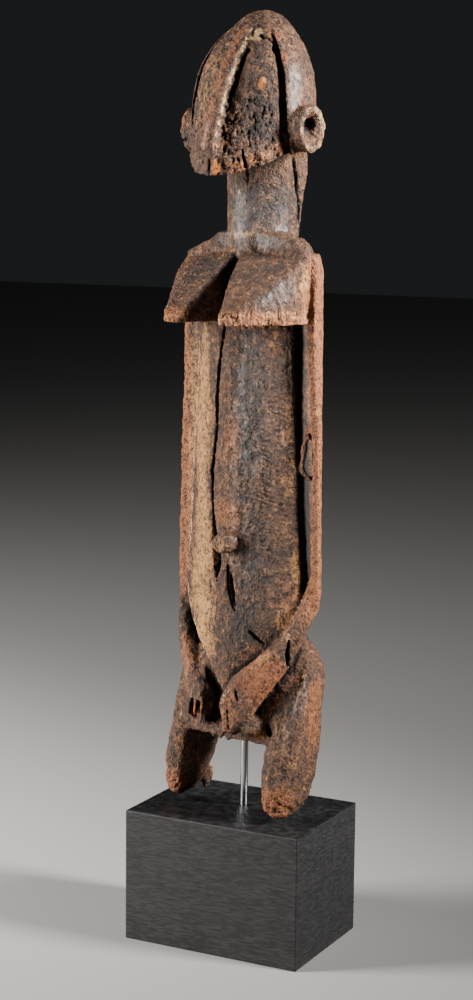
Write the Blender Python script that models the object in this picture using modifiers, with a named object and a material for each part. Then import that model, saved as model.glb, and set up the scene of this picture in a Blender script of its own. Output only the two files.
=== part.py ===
"""A carved wooden standing figure, held above a black wooden plinth by a steel rod.

Metres, +Z up. The origin is the middle of the plinth's underside and the
plinth's front faces -Y. The figure is one piece of wood. It faces -Y, turned
a little towards -X, and its own left is +X.
"""

import math

import bmesh
import bpy
from mathutils import Matrix, Vector

# Plinth, a block of black wood
PLINTH_WIDTH = 0.100
PLINTH_DEPTH = 0.072
PLINTH_HEIGHT = 0.070
PLINTH_EDGE_BEVEL = 0.0006

# Rod, polished steel, standing in the plinth and holding the figure up
ROD_DIAMETER = 0.004
ROD_DEPTH_IN_PLINTH = 0.022
ROD_DEPTH_IN_FIGURE = 0.026
ROD_END_BEVEL = 0.0004
ROD_SIDES = 32
ROD_SETBACK = 0.0025
ROD_SHARP_ANGLE = math.radians(35.0)

# Fits between the three pieces
SOCKET_CLEARANCE = 0.0003
STUMP_CLEARANCE = 0.003

# Figure, from the lower leg stump to the crown
FIGURE_HEIGHT = 0.408
FIGURE_TURN = math.radians(12.0)

# The carving keeps its proportions. Every size below this line is a share of
# the figure's own height, counted in parts of 408, from the lower leg stump up.
SHARE = FIGURE_HEIGHT / 408.0
FIGURE_BASE = PLINTH_HEIGHT + STUMP_CLEARANCE

# Head
CROWN_UP = 408.0
CROWN_FORWARD = -10.5
CROWN_FLAT = 0.35
HEAD_RING_STEP = 5.0
HEAD_BACK_STEPS = 8
HEAD_BACK_FULLNESS = 2.5
RIDGE_HALF_WIDTH = 3.2
RIDGE_WIDTH_LIMIT = 0.3
RIDGE_ROUNDING = 0.4
RIDGE_FLANK = 1.4
RIDGE_FOOT_LIMIT = 0.42
CHEEK_MIDDLE_SHARE = 0.46
CHEEK_OUTER_SHARE = 0.74
CHEEK_RISE = 1.3
GROOVE_WIDTH = 3.8
GROOVE_WIDTH_LIMIT = 0.14
GROOVE_BANK_SHARE = 0.03
GROOVE_DEPTH = 6.8
CAP_EDGE_SHARE = 0.97
CAP_EDGE_DROP = 2.4
CAP_TURN_DROP = 4.0
RECESS_FADES_FROM = 390.0
RECESS_GONE_AT = 401.0
# Each station: up, half width at the cap's edge, how much wider the cap is
# behind its edge, and how far forward lie the cap's edge, the face ridge, the
# cheek beside the ridge, its middle, its outer part and the back of the head
HEAD_STATIONS = (
    (316.0, 26.0, 1.0, 2.0, 30.0, 28.5, 24.5, 13.5, -31.0),
    (326.0, 28.6, 1.0, 3.5, 31.0, 29.8, 26.8, 17.0, -31.5),
    (333.0, 31.3, 1.2, 6.0, 31.5, 29.3, 25.8, 18.6, -32.0),
    (338.0, 32.2, 1.4, 7.8, 34.2, 29.5, 25.0, 18.0, -32.5),
    (343.0, 32.2, 1.6, 8.8, 32.4, 27.6, 23.6, 17.2, -32.5),
    (354.0, 31.8, 1.8, 9.7, 29.0, 24.6, 20.8, 15.8, -31.8),
    (367.0, 30.5, 2.0, 9.2, 24.5, 20.3, 18.0, 14.0, -31.2),
    (379.0, 27.8, 2.4, 7.8, 18.5, 15.2, 14.4, 11.8, -30.2),
    (390.0, 21.8, 2.8, 5.0, 10.0, 7.9, 8.4, 8.0, -27.8),
    (396.0, 16.8, 3.0, 2.2, 5.2, 3.7, 4.1, 4.2, -25.5),
    (402.0, 11.0, 3.0, -2.4, -1.0, -1.9, -1.7, -1.9, -22.0),
    (406.0, 6.5, 2.6, -5.0, -4.4, -5.0, -5.0, -5.0, -18.5),
)

# Mouth, a level notch under the ridge's end
MOUTH_UP = 334.5
MOUTH_LOWER_RISE = 1.2
MOUTH_UPPER_RISE = 3.6
MOUTH_REACH = 8.0
MOUTH_DEPTH = 2.6
MOUTH_HALF_WIDTH = 10.0

# Underside of the jaw, a plane that climbs from the chin to the ears
CHIN_UP = 325.5
CHIN_FORWARD = 30.0
JAW_CLIMB = 0.42
JAW_TOP_UP = 340.0
JAW_CUT_REACH = 60.0

# Ears, discs standing off the sides of the head, hollowed from outside
EAR_UP = 349.0
EAR_FORWARD = -1.8
EAR_INNER_SIDE = 27.0
EAR_OUTER_SIDE = 39.1
EAR_RIM = 0.9
EAR_HALF_HEIGHT = 11.9
EAR_HALF_LENGTH = 10.4
EAR_ROOT_SHARE = 0.9
EAR_FACE_SHARE = 0.93
EAR_HOLLOW_DEPTH = 5.0
EAR_HOLLOW_SHARE = 0.74
EAR_HOLLOW_FLOOR_SHARE = 0.3
EAR_SIDES = 26

# Neck, a round post a little left of the middle.
# Each station: up, half width, half depth, side and forward of its middle
NECK_STATIONS = (
    (284.0, 18.4, 18.8, 0.6, -11.6),
    (297.0, 18.4, 18.8, 0.6, -11.9),
    (312.0, 18.9, 19.4, 0.8, -12.4),
    (330.0, 20.8, 20.2, 1.6, -12.9),
    (342.0, 20.8, 19.6, 1.6, -12.3),
)
NECK_SQUARENESS = 2.0
NECK_SIDES = 40

# Shoulders: up, left and right half widths, front, back, squareness in front.
# The right shoulder falls away a little more than the left
SHOULDER_STATIONS = (
    (253.8, 38.6, 38.6, 3.0, -26.5, 5.0),
    (268.0, 39.3, 39.3, 3.5, -28.5, 5.0),
    (280.0, 39.6, 39.6, 4.0, -29.5, 5.0),
    (287.5, 39.2, 38.8, 4.0, -30.0, 5.0),
    (291.5, 37.2, 30.5, 4.5, -30.0, 2.6),
    (295.0, 31.5, 23.0, 5.0, -29.8, 2.0),
    (298.0, 20.5, 19.0, 6.0, -29.4, 2.0),
)
SHOULDER_BACK_SQUARENESS = 1.55
SHOULDER_SIDES = 44

# Breasts, wedges cut flat below. Each station: forward, then the inner ridge
# (side, up), the outer crease (side, up) and the two lower corners (sides)
BREAST_UNDERSIDE_UP = 253.0
BREAST_STATIONS = (
    (-3.0, 0.3, 293.0, 38.8, 287.5, 0.3, 38.8),
    (4.0, 0.8, 290.6, 38.6, 285.0, 0.8, 38.8),
    (13.0, 3.4, 284.7, 37.0, 278.5, 3.6, 37.2),
    (23.5, 6.5, 274.8, 32.2, 270.0, 7.2, 32.5),
    (35.3, 11.7, 262.4, 26.6, 261.0, 12.6, 26.8),
    (39.5, 13.6, 257.6, 23.6, 257.4, 14.4, 23.8),
)
BREAST_TIP_FORWARD = 1.0
BREAST_TIP_SHARE = 0.75
BREAST_RIDGE_ROUNDING = 1.6
BREAST_ROUNDING_LIMIT = 0.3
BREAST_RIDGE_SOFTNESS = 0.35
LEFT_BREAST_REACH = 1.0
RIGHT_BREAST_REACH = 0.93

# Torso, a long body with a bowed front, square front corners, straight sides
# and a rounded back. Below the elbows its front narrows to a point.
# Each station: up, half width at the front corners, corner, front and back
TORSO_STATIONS = (
    (60.0, 2.6, 13.2, 14.2, -12.0),
    (66.0, 5.4, 12.6, 15.2, -16.0),
    (72.0, 10.4, 11.4, 15.6, -18.2),
    (78.0, 16.2, 9.8, 15.8, -20.0),
    (92.0, 29.0, 5.4, 15.5, -22.0),
    (107.0, 35.8, 2.4, 15.0, -22.5),
    (117.0, 37.4, 1.0, 14.5, -22.5),
    (135.0, 36.4, 0.8, 13.6, -22.5),
    (160.0, 34.6, 1.0, 13.2, -22.5),
    (178.0, 34.2, 0.8, 13.2, -22.5),
    (205.0, 32.2, 1.0, 13.4, -22.5),
    (247.0, 30.5, 0.4, 13.6, -22.5),
    (262.0, 30.0, 0.0, 13.0, -22.5),
)
TORSO_RING_STEP = 9.0
TORSO_FRONT_STEPS = 6
TORSO_BACK_STEPS = 7
TORSO_BACK_NARROWING = 1.2
TORSO_NARROWING_LIMIT = 0.8
TORSO_SIDE_SHARE = 0.6
TORSO_BACK_SQUARENESS = 0.8

# Navel, a round peg
NAVEL_SIDE = 1.0
NAVEL_UP = 140.6
NAVEL_RADIUS = 5.8
NAVEL_TIP_SHARE = 0.9
NAVEL_TIP_FORWARD = 21.6
NAVEL_SIDES = 20

# Arms, thin strips hanging clear of the torso.
# Each station: up, outer side, thickness, front, back of the outer edge
ARM_STATIONS = (
    (99.0, 39.6, 9.0, -1.5, -5.0),
    (107.0, 44.8, 11.0, -1.0, -5.0),
    (115.0, 46.0, 9.0, -1.0, -5.0),
    (122.0, 46.4, 5.2, -1.2, -4.4),
    (145.0, 46.0, 4.8, -1.4, -4.2),
    (193.0, 45.2, 4.8, -1.4, -4.6),
    (219.0, 43.8, 4.8, -0.8, -6.0),
    (241.0, 43.0, 5.0, -0.2, -6.8),
    (270.0, 42.8, 6.0, -0.6, -7.4),
    (284.0, 41.9, 6.4, -1.2, -8.0),
    (288.0, 40.2, 5.4, -2.2, -7.4),
)
ARM_INNER_DEPTH = 4.8
ARM_EDGE = 0.6

# Web of wood left standing between the right arm and the torso, nearly level
# with both. Each station: up, and its front beside the arm and the torso
WEB_STATIONS = (
    (96.0, -1.6, 0.6),
    (101.0, -0.2, 2.2),
    (107.0, -0.2, 1.9),
    (115.0, -1.5, 0.6),
    (145.0, -1.9, 0.3),
    (193.0, -1.9, 0.5),
    (219.0, -1.3, 0.3),
    (241.0, -0.8, 0.0),
    (261.0, -1.0, -0.6),
)
WEB_THICKNESS = 5.0
WEB_OVERLAP = 1.6

# Forearms and hands, bands running down and inwards over the hips to meet
# below the belly. Each station: the upper edge (side, forward, up), the lower
# edge (side, forward, up), both on the outer face, and the thickness
LEFT_FOREARM_STATIONS = (
    ((44.2, -1.8, 121.0), (45.4, -5.0, 110.0), 6.5),
    ((42.6, 3.0, 112.0), (44.8, -1.5, 101.0), 8.5),
    ((39.5, 7.2, 102.0), (42.0, 4.0, 90.0), 9.5),
    ((33.5, 12.6, 92.5), (37.4, 9.0, 79.0), 10.0),
    ((25.0, 17.8, 84.5), (30.0, 14.6, 67.5), 10.5),
    ((16.5, 22.2, 77.0), (23.0, 18.8, 56.0), 11.0),
    ((10.0, 24.8, 70.5), (17.0, 21.6, 45.5), 11.5),
    ((6.6, 25.8, 65.0), (11.5, 24.0, 41.0), 10.5),
    ((4.4, 25.6, 60.0), (7.0, 25.0, 43.5), 7.0),
)
# The right one hangs steeper and lower, and ends where its fingers broke off
RIGHT_FOREARM_STATIONS = (
    ((45.0, -1.8, 119.0), (46.0, -5.0, 106.0), 6.5),
    ((44.2, 1.0, 106.0), (45.8, -2.5, 93.0), 8.0),
    ((41.2, 4.0, 94.0), (44.2, 1.0, 80.0), 9.0),
    ((34.6, 7.4, 82.0), (38.6, 5.4, 69.0), 9.5),
    ((26.0, 11.0, 69.5), (30.4, 9.6, 56.5), 10.0),
    ((17.0, 14.8, 60.0), (20.0, 14.4, 45.5), 10.0),
)
FOREARM_SIDES = 16
FOREARM_SQUARENESS = 4.0

# Lump of wood left under the left hand
GROIN_LUMP_PLACE = (17.0, 13.5, 46.5)
GROIN_LUMP_SIZE = (6.0, 7.0, 6.0)
GROIN_LUMP_TURNS = 14
GROIN_LUMP_RINGS = 8

# Hips: up, half width, middle of the front, crest of the thigh and back
HIP_STATIONS = (
    (37.0, 42.0, 12.5, 13.0, -17.0),
    (44.0, 42.8, 12.0, 10.5, -21.5),
    (54.0, 43.2, 11.0, 7.0, -25.0),
    (65.0, 43.2, 10.0, 3.6, -26.5),
    (75.0, 42.0, 9.0, -1.5, -26.0),
    (83.0, 37.8, 8.0, -6.0, -23.8),
    (89.0, 32.0, 6.0, -8.0, -21.8),
    (97.0, 24.5, 4.0, -7.0, -19.5),
)
HIP_RING_STEP = 5.0
HIP_GROIN_SHARES = (0.45, 0.12)
HIP_THIGH_SHARES = (0.78, 0.6)
HIP_CREST_EDGE = 1.6
HIP_CREST_DROP = 3.0
HIP_BACK_STEPS = 5
HIP_CLEFT = 1.5
HIP_RIGHT_SHARE = 0.95

# Deep hollow cut into the hips between the two hands.
# Each station: up, its right and left sides, and its floor
LOINS_STATIONS = (
    (42.0, -15.0, 3.2, 5.4),
    (45.5, -16.6, 4.2, 3.3),
    (58.0, -16.2, 4.2, 3.0),
    (68.0, -19.0, 4.0, 4.6),
    (77.0, -22.0, 2.4, 9.4),
)
LOINS_REACH = 32.0

# Leg stumps: up, inner side, outer side, front and back
LEFT_LEG_STATIONS = (
    (0.0, 30.0, 36.0, 14.0, 6.0),
    (2.5, 26.4, 38.8, 17.2, -1.5),
    (9.0, 23.8, 41.0, 19.2, -10.0),
    (20.0, 22.8, 42.2, 19.2, -14.5),
    (34.0, 22.8, 43.0, 17.0, -17.0),
    (46.0, 24.0, 42.8, 9.0, -18.0),
    (58.0, 25.0, 41.0, -2.0, -18.0),
)
RIGHT_LEG_STATIONS = (
    (0.0, 31.5, 36.0, 14.5, 8.0),
    (2.5, 28.2, 38.8, 17.0, 2.0),
    (9.0, 25.4, 41.0, 18.8, -5.5),
    (20.0, 24.4, 42.0, 18.8, -12.5),
    (34.0, 24.2, 41.4, 16.6, -18.5),
    (46.0, 24.6, 40.4, 9.0, -19.5),
    (58.0, 25.0, 38.6, -2.0, -19.0),
)
LEG_SQUARENESS = 2.8
LEG_SIDES = 22
CROTCH_UP = 38.0

# Splits that opened along the grain. On the belly each point is side, up and
# half width; on the neck it is the angle from the left side, up and half width
BELLY_SPLIT = (
    (-4.5, 251.0, 0.9),
    (-7.6, 233.0, 1.0),
    (-9.6, 214.0, 1.3),
    (-9.4, 199.0, 0.9),
    (-13.4, 177.0, 1.6),
    (-12.6, 160.0, 1.0),
    (-11.4, 148.0, 1.6),
    (-9.4, 138.0, 3.2),
    (-8.0, 131.0, 3.6),
    (-7.5, 125.0, 2.2),
    (-7.6, 119.5, 0.6),
)
NAVEL_SPLIT = (
    (0.6, 128.5, 0.7),
    (1.6, 122.0, 1.7),
    (2.6, 116.0, 2.2),
    (4.2, 110.0, 1.5),
    (5.4, 105.5, 0.5),
)
NECK_SPLIT = (
    (-4.0, 338.5, 1.3),
    (-11.0, 320.0, 1.1),
    (-18.0, 306.0, 0.9),
    (-24.0, 294.0, 0.5),
)
SPLIT_DEPTH = 5.0
SPLIT_LIFT = 2.0


def clear_scene():
    for old in list(bpy.data.objects):
        bpy.data.objects.remove(old, do_unlink=True)


def collection_named(name):
    group = bpy.data.collections.new(name)
    bpy.context.scene.collection.children.link(group)
    return group


def material_named(name, colour, roughness, metallic):
    made = bpy.data.materials.new(name)
    made.use_nodes = True
    shader = made.node_tree.nodes["Principled BSDF"]
    shader.inputs["Base Color"].default_value = (*colour, 1.0)
    shader.inputs["Roughness"].default_value = roughness
    shader.inputs["Metallic"].default_value = metallic
    return made


def object_from(shape, name, group):
    """Turn a bmesh into a named object of closed faces that point out."""
    bmesh.ops.recalc_face_normals(shape, faces=shape.faces)
    mesh = bpy.data.meshes.new(name)
    shape.to_mesh(mesh)
    shape.free()
    made = bpy.data.objects.new(name, mesh)
    group.objects.link(made)
    return made


def as_cutter(made):
    made.hide_render = True
    made.display_type = "WIRE"
    return made


def carved_point(side, forward, up):
    """A point on the carving, from shares of the height to metres."""
    return Vector((side * SHARE, -forward * SHARE, FIGURE_BASE + up * SHARE))


def smooth_between(stations, place):
    """Read every column of the stations at a place, on a smooth curve."""
    last = len(stations) - 1
    k = 0
    while k < last - 1 and place > stations[k + 1][0]:
        k += 1
    here, there = stations[k], stations[k + 1]
    before = stations[max(k - 1, 0)]
    after = stations[min(k + 2, last)]
    span = there[0] - here[0]
    t = min(max((place - here[0]) / span, 0.0), 1.0)
    values = []
    for column in range(1, len(here)):
        rise = (there[column] - here[column]) / span
        slope_here = (there[column] - before[column]) / (there[0] - before[0])
        slope_there = (after[column] - here[column]) / (after[0] - here[0])
        if k == 0:
            slope_here = rise
        if k == last - 1:
            slope_there = rise
        hermite = (
            (2 * t ** 3 - 3 * t ** 2 + 1) * here[column]
            + (t ** 3 - 2 * t ** 2 + t) * span * slope_here
            + (3 * t ** 2 - 2 * t ** 3) * there[column]
            + (t ** 3 - t ** 2) * span * slope_there
        )
        values.append(hermite)
    return values


def levels_between(stations, step):
    """Heights from the first station to the last, evenly about a step apart."""
    first, last = stations[0][0], stations[-1][0]
    count = max(1, round((last - first) / step))
    return [first + (last - first) * i / count for i in range(count + 1)]


def loft(rings):
    """A closed skin through rings that all have the same number of points."""
    shape = bmesh.new()
    rows = []
    for ring in rings:
        rows.append([shape.verts.new(point) for point in ring])
    sides = len(rings[0])
    for below, above in zip(rows, rows[1:]):
        for i in range(sides):
            j = (i + 1) % sides
            shape.faces.new((below[i], below[j], above[j], above[i]))
    shape.faces.new(list(reversed(rows[0])))
    shape.faces.new(rows[-1])
    bmesh.ops.triangulate(shape, faces=shape.faces)
    return shape


def mirrored_ring(half, right_share=1.0):
    """A full ring from its +X half, whose first and last points are central."""
    other = [(-side * right_share, forward) for side, forward in reversed(half[1:-1])]
    return half + other


def rounded_ring(centre_side, centre_forward, half_width, half_depth, squareness, sides):
    """A ring between an ellipse and a rectangle."""
    ring = []
    for i in range(sides):
        angle = 2.0 * math.pi * (i + 0.5) / sides
        across, along = math.cos(angle), math.sin(angle)
        reach = (abs(across) ** squareness + abs(along) ** squareness) ** (-1.0 / squareness)
        side = centre_side + half_width * across * reach
        forward = centre_forward + half_depth * along * reach
        ring.append((side, forward))
    return ring


def at_height(ring, up):
    return [carved_point(side, forward, up) for side, forward in ring]


def head_ring(up):
    """Face ridge, cheek, groove, cap edge, then the round back of the cap."""
    width, bulge, edge, ridge, root, middle, outer, back = smooth_between(HEAD_STATIONS, up)
    fade = (RECESS_GONE_AT - up) / (RECESS_GONE_AT - RECESS_FADES_FROM)
    fade = min(max(fade, 0.0), 1.0)
    cheek = edge + CHEEK_RISE * fade
    strip = min(RIDGE_HALF_WIDTH, RIDGE_WIDTH_LIMIT * width)
    foot = min(strip + RIDGE_FLANK, RIDGE_FOOT_LIMIT * width)
    lip = width - min(GROOVE_WIDTH, GROOVE_WIDTH_LIMIT * width)
    half = [
        (0.0, ridge),
        (strip, ridge - RIDGE_ROUNDING),
        (foot, root),
        (CHEEK_MIDDLE_SHARE * width, middle),
        (CHEEK_OUTER_SHARE * width, outer),
        (lip - GROOVE_BANK_SHARE * width, cheek),
        (lip, cheek - GROOVE_DEPTH * fade),
        (CAP_EDGE_SHARE * width, edge),
        (width + 0.3 * bulge, edge - CAP_EDGE_DROP),
    ]
    widest = width + bulge
    start = edge - CAP_TURN_DROP
    power = 2.0 / HEAD_BACK_FULLNESS
    for i in range(1, HEAD_BACK_STEPS + 1):
        angle = 0.5 * math.pi * (i - 0.5) / (HEAD_BACK_STEPS - 0.5)
        side = widest * max(math.cos(angle), 0.0) ** power
        forward = start + (back - start) * math.sin(angle) ** power
        half.append((side, forward))
    half[-1] = (0.0, back)
    return mirrored_ring(half)


def carve_head(group):
    levels = levels_between(HEAD_STATIONS, HEAD_RING_STEP)
    rings = [at_height(head_ring(up), up) for up in levels]
    crown_ring = []
    for side, forward in head_ring(HEAD_STATIONS[-1][0]):
        crown_ring.append((side * CROWN_FLAT, CROWN_FORWARD + (forward - CROWN_FORWARD) * CROWN_FLAT))
    rings.append(at_height(crown_ring, CROWN_UP))
    return object_from(loft(rings), "head", group)


def jaw_cutter(group):
    """Everything under the jaw's sloping plane, in front of the nape."""
    reach = JAW_CUT_REACH
    climb_end = CHIN_FORWARD - (JAW_TOP_UP - CHIN_UP) / JAW_CLIMB
    profile = [
        (reach, CHIN_UP - (reach - CHIN_FORWARD) * JAW_CLIMB),
        (climb_end, JAW_TOP_UP),
        (-reach, JAW_TOP_UP),
        (-reach, CHIN_UP - reach),
        (reach, CHIN_UP - reach),
    ]
    rings = []
    for side in (-reach, reach):
        rings.append([carved_point(side, forward, up) for forward, up in profile])
    return as_cutter(object_from(loft(rings), "under_jaw", group))


def mouth_cutter(group):
    """A shallow level notch across the front, under the face ridge."""
    ridge = smooth_between(HEAD_STATIONS, MOUTH_UP)[3]
    rings = []
    for side in (-MOUTH_HALF_WIDTH, MOUTH_HALF_WIDTH):
        rings.append([
            carved_point(side, ridge + MOUTH_REACH, MOUTH_UP + MOUTH_UPPER_RISE),
            carved_point(side, ridge - MOUTH_DEPTH, MOUTH_UP),
            carved_point(side, ridge + MOUTH_REACH, MOUTH_UP - MOUTH_LOWER_RISE),
        ])
    return as_cutter(object_from(loft(rings), "mouth", group))


def disc_ring(side, share):
    """A ring round the ear's centre, at one distance from the mid-plane."""
    ring = []
    for i in range(EAR_SIDES):
        angle = 2.0 * math.pi * i / EAR_SIDES
        forward = EAR_FORWARD + EAR_HALF_LENGTH * share * math.cos(angle)
        up = EAR_UP + EAR_HALF_HEIGHT * share * math.sin(angle)
        ring.append(carved_point(side, forward, up))
    return ring


def carve_ear(hand, group):
    rings = [
        disc_ring(hand * EAR_INNER_SIDE, EAR_ROOT_SHARE),
        disc_ring(hand * (EAR_OUTER_SIDE - EAR_RIM), 1.0),
        disc_ring(hand * EAR_OUTER_SIDE, EAR_FACE_SHARE),
    ]
    return as_cutter(object_from(loft(rings), "ear", group))


def ear_hollow_cutter(hand, group):
    rings = [
        disc_ring(hand * (EAR_OUTER_SIDE - EAR_HOLLOW_DEPTH), EAR_HOLLOW_FLOOR_SHARE),
        disc_ring(hand * EAR_OUTER_SIDE, EAR_HOLLOW_SHARE),
        disc_ring(hand * (EAR_OUTER_SIDE + EAR_HOLLOW_DEPTH), EAR_HOLLOW_SHARE),
    ]
    return as_cutter(object_from(loft(rings), "ear_hollow", group))


def carve_neck(group):
    rings = []
    for up, half_width, half_depth, side, forward in NECK_STATIONS:
        ring = rounded_ring(side, forward, half_width, half_depth, NECK_SQUARENESS, NECK_SIDES)
        rings.append(at_height(ring, up))
    return as_cutter(object_from(loft(rings), "neck", group))


def carve_shoulders(group):
    rings = []
    for up, left_width, right_width, front, back, squareness in SHOULDER_STATIONS:
        ring = []
        for i in range(SHOULDER_SIDES):
            angle = 2.0 * math.pi * (i + 0.5) / SHOULDER_SIDES
            across, along = math.cos(angle), math.sin(angle)
            power = squareness if along > 0.0 else SHOULDER_BACK_SQUARENESS
            reach = (abs(across) ** power + abs(along) ** power) ** (-1.0 / power)
            width = left_width if across > 0.0 else right_width
            depth = front if along > 0.0 else -back
            ring.append((width * across * reach, depth * along * reach))
        rings.append(at_height(ring, up))
    return as_cutter(object_from(loft(rings), "shoulders", group))


def carve_breast(hand, reach, group):
    """A wedge lofted from the chest to the tip, flat below."""
    low = BREAST_UNDERSIDE_UP
    soft = BREAST_RIDGE_SOFTNESS
    rings = []
    for station_forward, in_side, in_up, out_side, out_up, low_in, low_out in BREAST_STATIONS:
        forward = station_forward * reach
        width = out_side - in_side
        blend = min(BREAST_RIDGE_ROUNDING, BREAST_ROUNDING_LIMIT * width)
        fall = (in_up - out_up) * blend / width
        outline = [
            (in_side, in_up - blend),
            (in_side + soft * blend, in_up - soft * blend),
            (in_side + blend, in_up - fall),
            (out_side - blend, out_up + fall),
            (out_side, out_up - blend),
            (low_out, low),
            (low_in, low),
        ]
        rings.append([carved_point(hand * side, forward, up) for side, up in outline])
    step = Vector((0.0, -BREAST_TIP_FORWARD * SHARE, 0.0))
    middle = sum(rings[-1], Vector()) / len(rings[-1])
    rings.append([middle + step + (point - middle) * BREAST_TIP_SHARE for point in rings[-1]])
    return as_cutter(object_from(loft(rings), "breast", group))


def torso_ring(up):
    width, corner, front, back = smooth_between(TORSO_STATIONS, up)
    half = []
    for i in range(TORSO_FRONT_STEPS + 1):
        share = i / TORSO_FRONT_STEPS
        half.append((width * share, front + (corner - front) * share ** 2))
    narrow = max(width - TORSO_BACK_NARROWING, TORSO_NARROWING_LIMIT * width)
    middle = corner + TORSO_SIDE_SHARE * (back - corner)
    for i in range(TORSO_BACK_STEPS + 1):
        angle = 0.5 * math.pi * i / TORSO_BACK_STEPS
        reach = max(math.cos(angle), 0.0) ** TORSO_BACK_SQUARENESS
        forward = middle + (back - middle) * math.sin(angle) ** TORSO_BACK_SQUARENESS
        half.append((narrow * reach, forward))
    half[-1] = (0.0, back)
    return mirrored_ring(half)


def carve_torso(group):
    levels = levels_between(TORSO_STATIONS, TORSO_RING_STEP)
    rings = [at_height(torso_ring(up), up) for up in levels]
    return as_cutter(object_from(loft(rings), "torso", group))


def carve_navel(group):
    shape = bmesh.new()
    length = NAVEL_TIP_FORWARD * SHARE
    bmesh.ops.create_cone(
        shape,
        cap_ends=True,
        segments=NAVEL_SIDES,
        radius1=NAVEL_RADIUS * SHARE,
        radius2=NAVEL_TIP_SHARE * NAVEL_RADIUS * SHARE,
        depth=length,
        matrix=Matrix.Translation(carved_point(NAVEL_SIDE, 0.5 * NAVEL_TIP_FORWARD, NAVEL_UP))
        @ Matrix.Rotation(math.radians(90.0), 4, "X"),
    )
    return as_cutter(object_from(shape, "navel", group))


def carve_arm(hand, group):
    rings = []
    for up in levels_between(ARM_STATIONS, TORSO_RING_STEP):
        outer, thick, front, edge_back = smooth_between(ARM_STATIONS, up)
        inner = outer - thick
        outline = [
            (inner, front),
            (outer - ARM_EDGE, front),
            (outer, front - ARM_EDGE),
            (outer, edge_back),
            (0.5 * (inner + outer), edge_back - 0.8 * ARM_INNER_DEPTH),
            (inner, edge_back - ARM_INNER_DEPTH),
        ]
        rings.append([carved_point(hand * side, forward, up) for side, forward in outline])
    return as_cutter(object_from(loft(rings), "arm", group))


def carve_web(group):
    rings = []
    for up in levels_between(WEB_STATIONS, TORSO_RING_STEP):
        by_arm, by_torso = smooth_between(WEB_STATIONS, up)
        outer, thick, _, _ = smooth_between(ARM_STATIONS, up)
        in_arm = outer - thick + WEB_OVERLAP
        in_torso = smooth_between(TORSO_STATIONS, up)[0] - WEB_OVERLAP
        outline = [
            (in_torso, by_torso),
            (in_arm, by_arm),
            (in_arm, by_arm - WEB_THICKNESS),
            (in_torso, by_torso - WEB_THICKNESS),
        ]
        rings.append([carved_point(-side, forward, up) for side, forward in outline])
    return as_cutter(object_from(loft(rings), "web", group))


def forearm_outward(along, hand):
    """The level direction square to a band's run, away from the body."""
    outward = Vector((along.y, -along.x, 0.0)).normalized()
    facing = outward.x * hand - outward.y
    return outward if facing > 0.0 else -outward


def carve_forearm(hand, stations, group):
    """A band along its stations, rounded at its edges and at the hand."""
    last = len(stations) - 1
    uppers = [carved_point(hand * upper[0], upper[1], upper[2]) for upper, _, _ in stations]
    lowers = [carved_point(hand * lower[0], lower[1], lower[2]) for _, lower, _ in stations]
    power = FOREARM_SQUARENESS
    rings = []
    for k, (_, _, thickness) in enumerate(stations):
        before, after = max(k - 1, 0), min(k + 1, last)
        along = (uppers[after] + lowers[after]) - (uppers[before] + lowers[before])
        outward = forearm_outward(along, hand)
        half_thick = 0.5 * thickness * SHARE
        half_span = (uppers[k] - lowers[k]) * 0.5
        centre = (uppers[k] + lowers[k]) * 0.5 - outward * half_thick
        ring = []
        for i in range(FOREARM_SIDES):
            angle = 2.0 * math.pi * (i + 0.5) / FOREARM_SIDES
            across, high = math.cos(angle), math.sin(angle)
            reach = (abs(across) ** power + abs(high) ** power) ** (-1.0 / power)
            ring.append(centre + outward * (half_thick * across * reach) + half_span * (high * reach))
        rings.append(ring)
    return as_cutter(object_from(loft(rings), "forearm", group))


def carve_groin_lump(group):
    shape = bmesh.new()
    bmesh.ops.create_uvsphere(
        shape, u_segments=GROIN_LUMP_TURNS, v_segments=GROIN_LUMP_RINGS, radius=1.0
    )
    size = Vector(GROIN_LUMP_SIZE) * SHARE
    bmesh.ops.scale(shape, vec=size, verts=shape.verts)
    bmesh.ops.translate(shape, vec=carved_point(*GROIN_LUMP_PLACE), verts=shape.verts)
    return as_cutter(object_from(shape, "groin_lump", group))


def belly_forward(side, up):
    """How far forward the bowed front of the torso lies."""
    width, corner, front, _ = smooth_between(TORSO_STATIONS, up)
    return front + (corner - front) * (side / width) ** 2


def split_cutter(rows, name, group):
    """A wedge along a crooked line: two lifted edges and one deep edge."""
    rings = []
    for middle, across, inward, half_width in rows:
        lifted = middle - inward * SPLIT_LIFT * SHARE
        deep = middle + inward * SPLIT_DEPTH * SHARE
        spread = across * (half_width * (1.0 + SPLIT_LIFT / SPLIT_DEPTH) * SHARE)
        rings.append([lifted - spread, lifted + spread, deep])
    return as_cutter(object_from(loft(rings), name, group))


def belly_split_cutter(points, name, group):
    inward = Vector((0.0, 1.0, 0.0))
    across = Vector((1.0, 0.0, 0.0))
    rows = []
    for side, up, half_width in points:
        middle = carved_point(side, belly_forward(side, up), up)
        rows.append((middle, across, inward, half_width))
    return split_cutter(rows, name, group)


def neck_split_cutter(group):
    rows = []
    for degrees, up, half_width in NECK_SPLIT:
        half_width, half_depth, centre, forward = smooth_between(NECK_STATIONS, up)
        angle = math.radians(degrees)
        side = centre + half_width * math.cos(angle)
        middle = carved_point(side, forward + half_depth * math.sin(angle), up)
        inward = Vector((-math.cos(angle), math.sin(angle), 0.0))
        across = Vector((math.sin(angle), math.cos(angle), 0.0))
        rows.append((middle, across, inward, half_width))
    return split_cutter(rows, "neck_split", group)


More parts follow.
